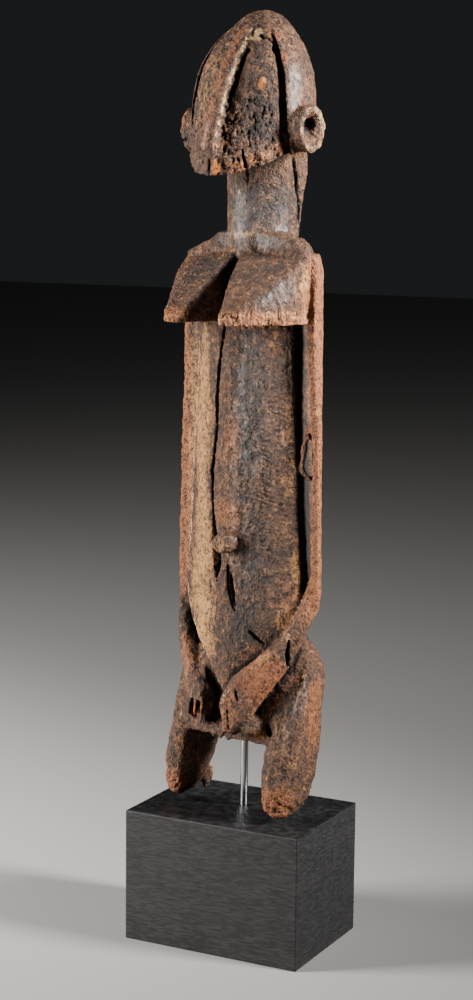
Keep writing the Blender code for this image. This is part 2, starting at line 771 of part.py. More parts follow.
def hip_ring(up):
    width, front, crest, back = smooth_between(HIP_STATIONS, up)
    half = [(0.0, front)]
    for across, climb in (HIP_GROIN_SHARES, HIP_THIGH_SHARES):
        half.append((across * width, front + climb * (crest - front)))
    half.append((width - HIP_CREST_EDGE, crest))
    half.append((width - 0.2 * HIP_CREST_EDGE, crest - HIP_CREST_DROP))
    middle = 0.5 * (crest + back)
    half.append((width, middle))
    for i in range(1, HIP_BACK_STEPS):
        angle = 0.5 * math.pi * i / HIP_BACK_STEPS
        half.append((width * math.cos(angle), middle + (back - middle) * math.sin(angle)))
    half.append((0.0, back + HIP_CLEFT))
    return mirrored_ring(half, HIP_RIGHT_SHARE)


def loins_cutter(group):
    rings = []
    for up, right, left, floor in LOINS_STATIONS:
        outline = [(right, floor), (left, floor), (left, LOINS_REACH), (right, LOINS_REACH)]
        rings.append(at_height(outline, up))
    return as_cutter(object_from(loft(rings), "loins", group))


def carve_hips(group):
    levels = levels_between(HIP_STATIONS, HIP_RING_STEP)
    rings = [at_height(hip_ring(up), up) for up in levels]
    hips = as_cutter(object_from(loft(rings), "hips", group))
    combine(hips, loins_cutter(group), "DIFFERENCE")
    return hips


def carve_leg(hand, stations, group):
    rings = []
    for up, inner, outer, front, back in stations:
        ring = rounded_ring(
            0.5 * (inner + outer),
            0.5 * (front + back),
            0.5 * (outer - inner),
            0.5 * (front - back),
            LEG_SQUARENESS,
            LEG_SIDES,
        )
        rings.append([carved_point(hand * side, forward, up) for side, forward in ring])
    return as_cutter(object_from(loft(rings), "leg", group))


def round_bar(radius, low, high, name, group):
    shape = bmesh.new()
    bmesh.ops.create_cone(
        shape,
        cap_ends=True,
        segments=ROD_SIDES,
        radius1=radius,
        radius2=radius,
        depth=high - low,
        matrix=Matrix.Translation((0.0, ROD_SETBACK, 0.5 * (low + high))),
    )
    return object_from(shape, name, group)


def combine(target, tool, operation):
    step = target.modifiers.new(operation.lower() + "_" + tool.name, "BOOLEAN")
    step.operation = operation
    step.solver = "EXACT"
    step.object = tool


def make_figure(parts, tools):
    """The carved solid: head, body and limbs joined, then cut."""
    figure = carve_head(parts)
    figure.name = "figure"
    combine(figure, jaw_cutter(tools), "DIFFERENCE")
    combine(figure, mouth_cutter(tools), "DIFFERENCE")
    for hand in (-1.0, 1.0):
        combine(figure, carve_ear(hand, tools), "UNION")
    for hand in (-1.0, 1.0):
        combine(figure, ear_hollow_cutter(hand, tools), "DIFFERENCE")
    joined = [
        carve_neck(tools),
        carve_shoulders(tools),
        carve_torso(tools),
        carve_hips(tools),
        carve_navel(tools),
    ]
    for hand in (-1.0, 1.0):
        joined.append(carve_arm(hand, tools))
    joined.append(carve_web(tools))
    joined.append(carve_leg(1.0, LEFT_LEG_STATIONS, tools))
    joined.append(carve_leg(-1.0, RIGHT_LEG_STATIONS, tools))
    joined.append(carve_breast(1.0, LEFT_BREAST_REACH, tools))
    joined.append(carve_breast(-1.0, RIGHT_BREAST_REACH, tools))
    joined.append(carve_forearm(1.0, LEFT_FOREARM_STATIONS, tools))
    joined.append(carve_forearm(-1.0, RIGHT_FOREARM_STATIONS, tools))
    joined.append(carve_groin_lump(tools))
    for piece in joined:
        combine(figure, piece, "UNION")
    combine(figure, belly_split_cutter(BELLY_SPLIT, "belly_split", tools), "DIFFERENCE")
    combine(figure, belly_split_cutter(NAVEL_SPLIT, "navel_split", tools), "DIFFERENCE")
    combine(figure, neck_split_cutter(tools), "DIFFERENCE")
    socket = round_bar(
        0.5 * ROD_DIAMETER + SOCKET_CLEARANCE,
        PLINTH_HEIGHT,
        rod_top() + SOCKET_CLEARANCE,
        "figure_socket",
        tools,
    )
    combine(figure, as_cutter(socket), "DIFFERENCE")
    for piece in [figure] + list(tools.objects):
        if piece is not socket:
            piece.rotation_euler.z = -FIGURE_TURN
    figure.data.materials.append(material_named("wood_patina", (0.20, 0.13, 0.09), 0.62, 0.0))
    return figure


def rod_top():
    return FIGURE_BASE + CROTCH_UP * SHARE + ROD_DEPTH_IN_FIGURE


def make_rod(parts):
    rod = round_bar(
        0.5 * ROD_DIAMETER,
        PLINTH_HEIGHT - ROD_DEPTH_IN_PLINTH,
        rod_top(),
        "rod",
        parts,
    )
    ends = rod.modifiers.new("end_bevel", "BEVEL")
    ends.width = ROD_END_BEVEL
    ends.segments = 1
    ends.limit_method = "ANGLE"
    rod.data.shade_smooth()
    rod.data.set_sharp_from_angle(angle=ROD_SHARP_ANGLE)
    rod.data.materials.append(material_named("rod_steel", (0.28, 0.28, 0.29), 0.28, 1.0))
    return rod


def make_plinth(parts, tools):
    low = Vector((-0.5 * PLINTH_WIDTH, -0.5 * PLINTH_DEPTH, 0.0))
    high = Vector((0.5 * PLINTH_WIDTH, 0.5 * PLINTH_DEPTH, PLINTH_HEIGHT))
    shape = bmesh.new()
    bmesh.ops.create_cube(shape, size=1.0)
    bmesh.ops.scale(shape, vec=high - low, verts=shape.verts)
    bmesh.ops.translate(shape, vec=(low + high) * 0.5, verts=shape.verts)
    plinth = object_from(shape, "plinth", parts)
    edges = plinth.modifiers.new("edge_bevel", "BEVEL")
    edges.width = PLINTH_EDGE_BEVEL
    edges.segments = 2
    seat = round_bar(
        0.5 * ROD_DIAMETER + SOCKET_CLEARANCE,
        PLINTH_HEIGHT - ROD_DEPTH_IN_PLINTH - SOCKET_CLEARANCE,
        PLINTH_HEIGHT + STUMP_CLEARANCE,
        "plinth_socket",
        tools,
    )
    combine(plinth, as_cutter(seat), "DIFFERENCE")
    plinth.data.materials.append(material_named("black_wood", (0.022, 0.022, 0.023), 0.5, 0.0))
    return plinth


def main():
    clear_scene()
    parts = collection_named("carved_figure_on_plinth")
    carving_tools = collection_named("carving_shapes")
    plinth_tools = collection_named("plinth_cutters")
    make_figure(parts, carving_tools)
    make_rod(parts)
    make_plinth(parts, plinth_tools)


main()
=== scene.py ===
import math

import bmesh
import bpy
import numpy as np
from bpy.props import FloatProperty, FloatVectorProperty, IntProperty, PointerProperty
from mathutils import Matrix, Vector
from mathutils.bvhtree import BVHTree


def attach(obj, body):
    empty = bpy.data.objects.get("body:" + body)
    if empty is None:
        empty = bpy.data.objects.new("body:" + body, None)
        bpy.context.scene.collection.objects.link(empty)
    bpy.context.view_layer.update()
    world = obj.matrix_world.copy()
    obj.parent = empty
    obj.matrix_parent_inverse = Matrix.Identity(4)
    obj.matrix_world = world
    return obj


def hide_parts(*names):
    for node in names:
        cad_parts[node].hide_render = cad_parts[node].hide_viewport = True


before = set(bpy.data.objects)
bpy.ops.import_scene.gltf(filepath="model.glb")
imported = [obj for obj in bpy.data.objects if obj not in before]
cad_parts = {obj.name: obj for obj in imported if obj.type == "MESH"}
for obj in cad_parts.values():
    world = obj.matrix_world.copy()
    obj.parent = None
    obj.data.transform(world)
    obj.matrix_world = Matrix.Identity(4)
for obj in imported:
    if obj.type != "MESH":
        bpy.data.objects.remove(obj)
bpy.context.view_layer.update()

bl_info = {
    "name": "Carved wooden figure",
    "version": (1, 0, 0),
    "blender": (4, 5, 0),
    "location": "3D View > Sidebar > Carved figure",
    "description": "Carves the detail and finishes of an old wooden figure on its rod and black block",
    "category": "Object",
}

# The figure stands turned on its block. Its own directions are side (its left),
# forward and up, in millimetres, with up counted from the lower leg stump
FIGURE_TURN = math.radians(12.0)
STUMP_HEIGHT = 73.0
MILLIMETRES = 1000.0

# Loose corners of the solid closer than this are one corner, in metres
MERGE_GAP = 1e-6

# The skin: how deep a crack keeps its edges sharp and how deep it is painted dark with shade, in
# millimetres, and how far the broken soles reach below the lower stump
SHARP_CRACK = 2.0
DARK_CRACK = 1.3
SOLE_REACH = 0.4

# Pits and hollows are found against the skin worn smooth for some rounds; the pits are painted dark with
# shade. The gains are for each millimetre of depth
PIT_ROUNDS = 4
PIT_GAIN = 2.2
HOLLOW_GAIN = 0.7

# How far from the skin the open air is measured, in metres. Skin with little open air is painted with shade
NEAR_AIR = 0.0018
FAR_AIR = 0.0070

# The spacing of the tool marks on the torso and of the grain on the breasts
RIPPLE_SPACING = 2.8
GRAIN_SPACING = 3.1

# Large numbers that scatter the noise: for the three ways, the seed and the last step
SCATTER = (374761393, 668265263, 1440662683, 362437, 1274126177)
WORD = 0xFFFFFFFF

# The stage in metres: the floor's reach, and the soft lights' places, aims and sizes
FLOOR_REACH = 6.0
LEFT_LIGHT_PLACE = (-0.94, -0.64, 0.46)
LEFT_LIGHT_AIM = (0.0, 0.0, 0.27)
LEFT_LIGHT_SIZE = (0.35, 1.0)
LEFT_LIGHT_TINT = (1.0, 0.97, 0.94)
RIGHT_LIGHT_PLACE = (0.93, 0.10, 0.70)
RIGHT_LIGHT_AIM = (0.0, 0.0, 0.38)
RIGHT_LIGHT_SIZE = (0.22, 0.5)
RIGHT_LIGHT_TINT = (1.0, 0.97, 0.95)
RIGHT_LIGHT_SPREAD = 0.70
SKY_TINT = (0.9, 0.95, 1.0)

# The photograph's camera
IMAGE_HEIGHT = 1000
FOCAL_PIXELS = 2050.0
SENSOR = 36.0
CLIP_RANGE = (0.01, 50.0)
CAMERA_YAW = math.radians(27.348)
CAMERA_PITCH = math.radians(8.747)
CAMERA_ROLL = math.radians(-0.607)
CAMERA_PLACE = Vector((0.47656, -0.93118, 0.39457))

# The cap's front edge on the head: up, forward
CAP_EDGE = (
    (316.0, 2.0),
    (326.0, 3.5),
    (338.0, 7.8),
    (354.0, 9.7),
    (367.0, 9.2),
    (379.0, 7.8),
    (390.0, 5.0),
    (402.0, -2.4),
    (408.0, -6.0),
)


def to_carving(points):
    """Turn world points in metres to side, forward and up in millimetres."""
    x, y, z = points.T * MILLIMETRES
    c, s = math.cos(FIGURE_TURN), math.sin(FIGURE_TURN)
    return np.stack((c * x - s * y, -s * x - c * y, z - STUMP_HEIGHT), axis=1)


def from_carving(places):
    """Turn side, forward and up in millimetres to world points in metres."""
    side, forward, up = places.T
    c, s = math.cos(FIGURE_TURN), math.sin(FIGURE_TURN)
    world = np.stack((c * side - s * forward, -s * side - c * forward, up + STUMP_HEIGHT), axis=1)
    return world / MILLIMETRES


def turned(normals):
    """Turn world directions to side, forward and up."""
    x, y, z = normals.T
    c, s = math.cos(FIGURE_TURN), math.sin(FIGURE_TURN)
    return np.stack((c * x - s * y, -s * x - c * y, z), axis=1)


def ramp(value, low, high):
    """A smooth step from 0 at low to 1 at high."""
    t = np.clip((value - low) / (high - low), 0.0, 1.0)
    return t * t * (3.0 - 2.0 * t)


def band(value, start, full, fade, end):
    """A smooth rise from start to full and fall from fade to end."""
    return ramp(value, start, full) * (1.0 - ramp(value, fade, end))


def lattice_values(i, j, k, seed):
    """A fixed number from 0 to 1 for each cell of a lattice."""
    first, second, third, drawn, last = SCATTER
    n = (i * first + j * second + k * third + seed * drawn) & WORD
    n = ((n ^ (n >> 13)) * last) & WORD
    n = n ^ (n >> 16)
    return n / (WORD + 1.0)


def soft_noise(places, spacing, seed):
    """Smooth noise from -1 to 1, with its hills a spacing apart."""
    scaled = places / np.asarray(spacing, dtype=float)
    cell = np.floor(scaled).astype(np.int64)
    t = scaled - cell
    t = t * t * (3.0 - 2.0 * t)
    i, j, k = cell.T
    u, v, w = t.T
    total = np.zeros(len(places))
    for di, share_i in ((0, 1.0 - u), (1, u)):
        for dj, share_j in ((0, 1.0 - v), (1, v)):
            for dk, share_k in ((0, 1.0 - w), (1, w)):
                values = lattice_values(i + di, j + dj, k + dk, seed)
                total += share_i * share_j * share_k * values
    return 2.0 * total - 1.0


def rough_noise(places, spacing, seed, octaves=3):
    """Noise from about -1 to 1 with finer noise laid over it."""
    total = np.zeros(len(places))
    strength = 1.0
    whole = 0.0
    spacing = np.asarray(spacing, dtype=float)
    for octave in range(octaves):
        total += strength * soft_noise(places, spacing, seed + octave)
        whole += strength
        strength *= 0.55
        spacing = spacing * 0.47
    return total / whole


def pit_field(places, spacing, seed, share):
    """1 in the middle of scattered pits and 0 between them."""
    scaled = places / np.asarray(spacing, dtype=float)
    cell = np.floor(scaled).astype(np.int64)
    found = np.zeros(len(places))
    for di in (-1, 0, 1):
        for dj in (-1, 0, 1):
            for dk in (-1, 0, 1):
                i, j, k = (cell + (di, dj, dk)).T
                middle = np.stack((
                    i + lattice_values(i, j, k, seed),
                    j + lattice_values(i, j, k, seed + 1),
                    k + lattice_values(i, j, k, seed + 2),
                ), axis=1)
                size = lattice_values(i, j, k, seed + 3)
                radius = 0.25 + 0.4 * size
                gap = np.linalg.norm(scaled - middle, axis=1) / radius
                depth = np.where(size < share, 1.0 - ramp(gap, 0.35, 1.0), 0.0)
                found = np.maximum(found, depth)
    return found


def along_path(places, path):
    """1 on a path and 0 beyond its reach. Each point is side, forward, up and reach."""
    path = np.asarray(path, dtype=float)
    found = np.zeros(len(places))
    far = path[:, 3].max()
    low, high = path[:, :3].min(axis=0) - far, path[:, :3].max(axis=0) + far
    close = np.all((places > low) & (places < high), axis=1)
    if not close.any():
        return found
    near = places[close]
    best = np.zeros(len(near))
    for start, end in zip(path, path[1:]):
        line = end[:3] - start[:3]
        t = np.clip(((near - start[:3]) @ line) / (line @ line), 0.0, 1.0)
        gap = np.linalg.norm(near - start[:3] - t[:, None] * line, axis=1)
        reach = start[3] + t * (end[3] - start[3])
        best = np.maximum(best, 1.0 - ramp(gap / reach, 0.15, 1.0))
    found[close] = best
    return found


def blotch(places, centre, size):
    """1 at a centre, falling to 0 at a size in each direction."""
    gap = np.linalg.norm((places - np.asarray(centre)) / np.asarray(size), axis=1)
    return 1.0 - ramp(gap, 0.3, 1.0)


def mesh_points(mesh):
    values = np.empty(len(mesh.vertices) * 3)
    mesh.vertices.foreach_get("co", values)
    return values.reshape(-1, 3)


def mesh_normals(mesh):
    values = np.empty(len(mesh.vertices) * 3)
    mesh.vertex_normals.foreach_get("vector", values)
    return values.reshape(-1, 3)


def set_mesh_points(mesh, points):
    mesh.vertices.foreach_set("co", points.ravel())
    mesh.update()


def edge_pairs(mesh):
    values = np.empty(len(mesh.edges) * 2, dtype=np.int64)
    mesh.edges.foreach_get("vertices", values)
    return values.reshape(-1, 2)


def neighbour_mean(values, edges, count):
    """The mean of each point's neighbours."""
    first, second = edges.T
    size = len(values)
    columns = []
    for column in values.T:
        sums = np.bincount(first, column[second], size) + np.bincount(second, column[first], size)
        columns.append(sums / count)
    return np.stack(columns, axis=1)


def worn_smooth(points, edges, rounds, share):
    """Wear the points towards their neighbours, by a share for each point."""
    count = np.bincount(edges.ravel(), minlength=len(points))
    for _ in range(rounds):
        points = points + share[:, None] * (neighbour_mean(points, edges, count) - points)
    return points


def shown_object(mesh, name):
    made = bpy.data.objects.new(name, mesh)
    bpy.context.scene.collection.objects.link(made)
    return made


def merged_copy(node, name):
    """A copy of a CAD node with its loose triangles merged."""
    shape = bmesh.new()
    shape.from_mesh(node.data)
    bmesh.ops.remove_doubles(shape, verts=shape.verts, dist=MERGE_GAP)
    mesh = bpy.data.meshes.new(name)
    shape.to_mesh(mesh)
    shape.free()
    return shown_object(mesh, name)


def with_modifier(made, kind, **settings):
    """Replace an object's mesh by what one modifier makes of it."""
    modifier = made.modifiers.new("step", kind)
    for key, value in settings.items():
        setattr(modifier, key, value)
    depsgraph = bpy.context.evaluated_depsgraph_get()
    result = bpy.data.meshes.new_from_object(made.evaluated_get(depsgraph))
    old = made.data
    made.modifiers.remove(modifier)
    made.data = result
    result.name = made.name
    bpy.data.meshes.remove(old)


def triangle_count(mesh):
    return sum(len(face.vertices) - 2 for face in mesh.polygons)


def cheek_share(places):
    """1 on the sunken cheeks between the face ridge and the cap."""
    side, forward, up = places.T
    edge = np.interp(up, *np.array(CAP_EDGE).T)
    behind_ridge = ramp(np.abs(side), 3.0, 4.6)
    return ramp(forward, edge + 1.0, edge + 3.5) * band(up, 318.0, 324.0, 394.0, 401.0) * behind_ridge


def cap_share(places):
    """1 on the cap over the top and back of the head."""
    side, forward, up = places.T
    edge = np.interp(up, *np.array(CAP_EDGE).T)
    return (1.0 - ramp(forward, edge - 2.0, edge + 0.5)) * ramp(up, 338.0, 346.0)


def crooked(places, amount, spacing, seed):
    """Places shifted a little by noise, so that a line cut along them wanders."""
    shift = [amount * soft_noise(places, spacing, seed + axis) for axis in range(3)]
    return places + np.stack(shift, axis=1)


# Cracks and grooves. Each point is side, forward, up and how far the cut reaches
CHIN_CRACK = ((0.9, 33.0, 334.5, 0.9), (0.2, 31.5, 330.0, 1.0), (-0.9, 29.0, 322.0, 0.8))
JAW_SPLIT = ((15.8, 24.5, 338.0, 0.6), (16.8, 24.0, 334.0, 1.2), (17.4, 23.0, 329.0, 1.2))
RIDGE_GROOVE = (
    (6.8, 9.5, 388.0, 1.1),
    (6.4, 13.0, 382.4, 1.7),
    (6.2, 16.4, 376.4, 1.9),
    (5.7, 19.0, 370.5, 1.7),
    (5.4, 21.0, 364.0, 1.3),
    (5.3, 23.5, 357.0, 0.9),
)
NECK_CRACK = (
    (17.2, -14.2, 334.0, 1.5),
    (16.5, -17.6, 324.2, 1.5),
    (15.1, -21.3, 314.2, 1.3),
    (13.0, -25.0, 304.0, 1.1),
    (12.2, -26.6, 296.0, 0.8),
)
BELLY_CRACK = (
    (-4.8, 13.6, 251.0, 1.0),
    (-7.8, 13.2, 233.0, 1.1),
    (-9.6, 12.8, 214.0, 1.5),
    (-9.4, 12.8, 199.0, 1.1),
    (-13.4, 12.0, 177.0, 1.8),
    (-12.6, 12.2, 160.0, 1.2),
    (-11.4, 12.6, 148.0, 1.7),
    (-9.4, 13.2, 138.0, 3.4),
    (-8.0, 13.4, 131.0, 3.9),
    (-7.5, 13.6, 125.0, 2.5),
    (-7.6, 13.8, 119.5, 0.9),
)
BELLY_LOWER_CRACK = (
    (0.6, 14.0, 128.5, 0.9),
    (1.6, 14.0, 122.0, 1.9),
    (2.6, 14.1, 116.0, 2.3),
    (4.2, 14.3, 110.0, 1.7),
    (5.4, 14.4, 105.5, 0.8),
)
FOREARM_CRACK = (
    (37.0, 9.2, 92.8, 0.9),
    (36.4, 9.9, 86.1, 1.5),
    (36.5, 9.4, 83.0, 1.4),
    (36.1, 8.1, 79.5, 1.0),
)
BELLY_SLIT = ((14.1, 13.1, 95.8, 0.8), (17.6, 11.7, 92.4, 1.5), (21.3, 9.6, 89.5, 0.8))
HAND_NOTCH = ((23.4, 13.0, 51.0, 1.6), (25.4, 11.8, 46.5, 2.2), (27.6, 11.0, 43.0, 1.5))
ARM_CRACK = ((40.4, -1.2, 198.0, 0.7), (41.4, -1.2, 186.0, 1.2), (41.0, -1.4, 175.0, 0.9))
HAND_SLOTS = (
    ((-23.6, 13.2, 52.5, 1.7), (-23.8, 12.6, 45.0, 2.1)),
    ((-18.8, 14.4, 53.0, 1.1), (-19.0, 14.0, 45.0, 1.3)),
)
PALM_CRACKS = (
    ((13.4, 23.2, 67.0, 0.6), (14.6, 22.6, 61.5, 0.9)),
    ((9.6, 24.4, 56.0, 0.5), (10.4, 24.0, 44.0, 0.8)),
)
JAW_EDGE = (
    (17.5, 23.0, 332.5, 3.5),
    (22.5, 19.0, 335.5, 4.5),
    (28.0, 12.0, 339.0, 5.0),
    (31.0, 8.0, 341.0, 4.0),
)
RIDGE_FLANK = (
    (7.4, 3.2, 396.0, 3.6),
    (4.4, 5.4, 394.0, 2.6),
    (3.6, 11.4, 387.3, 2.0),
    (3.8, 17.0, 379.3, 1.9),
    (3.7, 21.5, 370.4, 2.0),
    (3.6, 25.8, 360.6, 2.1),
    (3.5, 28.6, 352.8, 2.2),
    (3.7, 30.3, 345.0, 2.3),
)
RIDGE_LINE = (
    (-0.8, 2.5, 398.0, 4.4),
    (-0.8, 7.2, 393.6, 4.4),
    (-0.8, 12.7, 386.5, 4.4),
    (-0.8, 19.2, 377.4, 4.4),
    (-0.8, 24.1, 367.5, 4.4),
    (-0.6, 28.0, 356.7, 4.4),
    (-0.6, 30.9, 347.9, 4.4),
    (0.0, 33.2, 340.0, 3.6),
)
NOSE_EDGE = ((-2.4, 28.2, 355.0, 0.9), (-2.4, 30.4, 348.0, 1.1), (-2.0, 32.4, 341.0, 1.1))
CAP_GROOVE = (
    (17.4, 4.4, 391.0, 1.2),
    (22.0, 5.6, 384.7, 1.6),
    (25.2, 6.4, 377.4, 1.9),
    (27.6, 7.8, 369.9, 2.1),
    (28.9, 8.6, 362.7, 2.4),
    (29.5, 8.8, 355.4, 2.5),
    (29.9, 8.6, 348.2, 2.5),
    (30.4, 7.4, 341.0, 2.3),
    (30.4, 6.4, 337.2, 2.0),
)
FOREHEAD_HOLES = ((10.5, 5.0, 396.0, 1.2), (13.0, 5.4, 393.5, 1.6), (16.5, 4.5, 392.0, 1.2))
KNOT_PLACE = (19.4, 14.6, 371.3)
EAR_PLACE = (36.4, -3.0, 350.5)
EAR_HOLE_SIZE = (7.0, 4.2, 4.2)
FAR_EAR_NOTCH = ((-40.0, 6.0, 344.0, 1.6), (-33.0, 9.0, 343.5, 1.4))
# The hip's crest, raised a little and painted pale as a highlight
HIP_CREST = (
    (40.0, -2.0, 79.0, 2.5),
    (41.0, 3.2, 66.0, 2.2),
    (40.2, 7.4, 54.5, 2.2),
    (36.9, 12.6, 40.0, 2.4),
)
THIGH_EDGE = ((36.9, 12.6, 40.0, 2.4), (34.8, 17.3, 31.4, 2.2), (32.4, 18.9, 21.9, 1.6))
# The torso's crest, raised a little and painted pale as a highlight
TORSO_CREST = (
    (-30.8, 0.9, 246.0, 1.5),
    (-32.3, 1.2, 205.0, 1.6),
    (-34.3, 1.1, 178.0, 1.6),
    (-34.8, 1.2, 160.0, 1.7),
    (-36.3, 1.2, 135.0, 1.8),
    (-36.6, 1.4, 117.0, 1.9),
    (-35.0, 2.8, 107.0, 2.0),
    (-28.6, 5.6, 92.0, 2.0),
    (-22.4, 7.8, 85.0, 2.0),
    (-16.0, 9.9, 78.0, 2.2),
    (-10.4, 11.4, 72.0, 2.4),
    (-5.4, 12.6, 66.0, 2.4),
)


def crack_depth(places):
    """Millimetres that the splits and cracks go in."""
    wandering = crooked(places, 0.5, 2.2, 71)
    loose = crooked(places, 0.9, 3.0, 83)
    cuts = [
        (2.8, CHIN_CRACK),
        (2.6, JAW_SPLIT),
        (2.6, NECK_CRACK),
        (2.2, BELLY_CRACK),
        (2.6, BELLY_LOWER_CRACK),
        (4.0, FOREARM_CRACK),
        (2.4, BELLY_SLIT),
        (4.5, HAND_NOTCH),
        (3.0, ARM_CRACK),
    ]
    cuts += [(5.0, slot) for slot in HAND_SLOTS]
    cuts += [(1.2, line) for line in PALM_CRACKS]
    depth = np.zeros(len(places))
    for deepest, path in cuts:
        depth = np.maximum(depth, deepest * along_path(wandering, path))
    depth = np.maximum(depth, 1.9 * along_path(loose, RIDGE_GROOVE))
    depth = np.maximum(depth, 2.6 * along_path(loose, FOREHEAD_HOLES))
    depth = np.maximum(depth, 1.4 * along_path(loose, CAP_GROOVE))
    depth = np.maximum(depth, 1.6 * along_path(loose, FAR_EAR_NOTCH))
    return depth


def rim_share(places, normals):
    """1 on the chipped lower rims of the breasts."""
    side, forward, up = places.T
    faces_out = ramp(normals[:, 1] + 0.6 * np.abs(normals[:, 0]), 0.35, 0.7)
    outer = (side > 6.0) | (side < -15.0) | (forward > 32.0)
    wavy = up + 1.2 * soft_noise(places, 6.0, 63)
    return band(wavy, 250.0, 251.0, 258.0, 261.5) * faces_out * outer * ramp(forward, -2.0, 3.0)


def carved_relief(places, normals):
    """Millimetres that the skin of the carving stands out or goes in."""
    side, forward, up = places.T
    cheek = cheek_share(places)
    cap = cap_share(places)
    neck = band(up, 294.0, 299.0, 322.0, 330.0) * (forward < 10.0)
    hips = 1.0 - ramp(up, 84.0, 96.0)
    body = band(up, 96.0, 104.0, 246.0, 252.0)
    flat_front = ramp(normals[:, 1], 0.3, 0.75)

    relief = 0.30 * rough_noise(places, 9.0, 11)
    relief += 0.18 * rough_noise(places, (1.7, 1.7, 6.0), 21, 2)
    relief += 0.16 * rough_noise(places, 1.8, 25, 2)

    low_cheek = 1.0 - ramp(up, 352.0, 380.0)
    spongy = ramp(rough_noise(places, (2.4, 2.4, 3.2), 31), 0.0, 0.55)
    relief -= cheek * (0.3 + 0.8 * low_cheek) * spongy
    relief -= cheek * (0.2 + 0.3 * low_cheek) * pit_field(places, (1.7, 1.7, 2.2), 35, 0.35)
    relief += cheek * (0.3 + 0.5 * low_cheek) * rough_noise(places, (1.7, 1.7, 2.8), 41)
    relief += cap * 0.26 * rough_noise(places, 5.5, 45, 2)

    head_front = band(up, 336.0, 340.0, 396.0, 402.0) * ramp(normals[:, 1], 0.35, 0.65)
    relief += 1.3 * head_front * (1.0 - ramp(np.abs(side - 0.2), 2.7, 3.5)) * (forward > 2.0)
    flank = along_path(places, RIDGE_FLANK)
    relief += flank * (0.5 + 0.7 * rough_noise(places, (1.5, 1.5, 1.5), 47, 2))
    jaw = along_path(places, JAW_EDGE)
    relief += jaw * 0.25 * rough_noise(places, (1.1, 1.1, 6.0), 49, 2)

    knot = np.linalg.norm(places - np.asarray(KNOT_PLACE), axis=1)
    relief += 0.9 * (1.0 - ramp(knot, 0.8, 3.2))
    relief -= 3.4 * blotch(places, EAR_PLACE, EAR_HOLE_SIZE)
    ear = band(np.abs(side), 34.0, 36.0, 41.0, 42.0) * band(up, 334.0, 338.0, 361.0, 364.0)
    relief += ear * 0.5 * rough_noise(places, 2.6, 53, 2)

    relief += neck * 0.10 * soft_noise(places, (5.0, 5.0, 2.0), 51)

    wave = up + 0.30 * side + 2.4 * soft_noise(places, 8.0, 55)
    rippled = flat_front * band(side, -2.0, 8.0, 28.0, 33.0) * band(up, 120.0, 160.0, 200.0, 232.0)
    strength = 0.6 + 0.7 * soft_noise(places, 5.0, 57)
    relief += rippled * strength * 0.22 * np.sin(2.0 * math.pi * wave / RIPPLE_SPACING)
    body_front = flat_front * band(up, 100.0, 110.0, 240.0, 250.0)
    relief += body_front * 0.34 * rough_noise(places, (4.0, 4.0, 1.5), 59, 2)
    relief += body * 0.34 * rough_noise(places, (4.5, 4.5, 6.0), 61)
    relief += (0.7 * body_front + hips) * 0.36 * rough_noise(places, 1.9, 65, 2)
    relief += hips * 0.45 * rough_noise(places, 5.0, 67)

    breasts = band(up, 251.0, 255.0, 288.0, 293.0) * ramp(forward, 2.0, 8.0)
    wave = forward + 2.6 * soft_noise(places, 9.0, 69)
    relief += breasts * 0.10 * np.sin(2.0 * math.pi * wave / GRAIN_SPACING)
    relief += breasts * 0.20 * rough_noise(places, 2.4, 71, 2)
    chips = ramp(rough_noise(places, (1.3, 1.3, 6.0), 73, 2), 0.0, 0.5)
    relief += rim_share(places, normals) * (0.35 - 0.9 * chips)

    relief += 0.7 * along_path(places, HIP_CREST) + 0.6 * along_path(places, THIGH_EDGE)
    relief += 0.55 * along_path(places, TORSO_CREST)

    stump = 1.0 - ramp(up, 8.0, 24.0)
    relief -= stump * 1.1 * ramp(rough_noise(places, 5.0, 77), -0.1, 0.5)
    relief -= (1.0 - ramp(up, 3.0, 10.0)) * 0.8 * pit_field(places, 3.0, 79, 0.6)
    return relief


# Where the finishes lie: side, forward, up, then a size each way and a strength
RUSSET_MARKS = (
    ((1.6, 13.2, 193.0), (9.0, 9.0, 20.0), 0.7),
    ((-0.5, 13.2, 154.0), (14.0, 9.0, 13.0), 0.8),
    ((24.0, 14.0, 72.0), (22.0, 18.0, 24.0), 1.0),
    ((10.0, 24.0, 55.0), (9.0, 9.0, 18.0), 0.8),
    ((13.0, 25.0, 329.0), (9.0, 9.0, 9.0), 0.8),
    ((17.0, 1.0, 393.0), (6.0, 6.0, 7.0), 0.9),
    ((25.0, 5.5, 382.0), (4.0, 4.0, 9.0), 0.8),
    ((38.7, 0.0, 268.0), (6.0, 9.0, 14.0), 0.9),
    ((34.0, 14.0, 9.0), (15.0, 14.0, 15.0), 0.9),
    ((-34.0, 17.0, 8.0), (14.0, 10.0, 14.0), 0.9),
    ((43.5, -6.0, 55.0), (4.0, 13.0, 34.0), 0.7),
    ((-19.0, 37.0, 257.0), (6.0, 9.0, 10.0), 0.9),
    ((-8.0, 15.0, 112.0), (10.0, 8.0, 16.0), 0.4),
    ((-24.0, 14.0, 30.0), (14.0, 12.0, 22.0), 0.4),
    ((-41.0, -2.0, 180.0), (7.0, 5.0, 90.0), 0.6),
    ((-33.0, 8.0, 78.0), (12.0, 8.0, 26.0), 0.8),
    ((33.0, 5.0, 110.0), (8.0, 9.0, 24.0), 0.5),
    ((36.5, -1.5, 188.0), (2.6, 1.8, 15.0), 1.0),
)
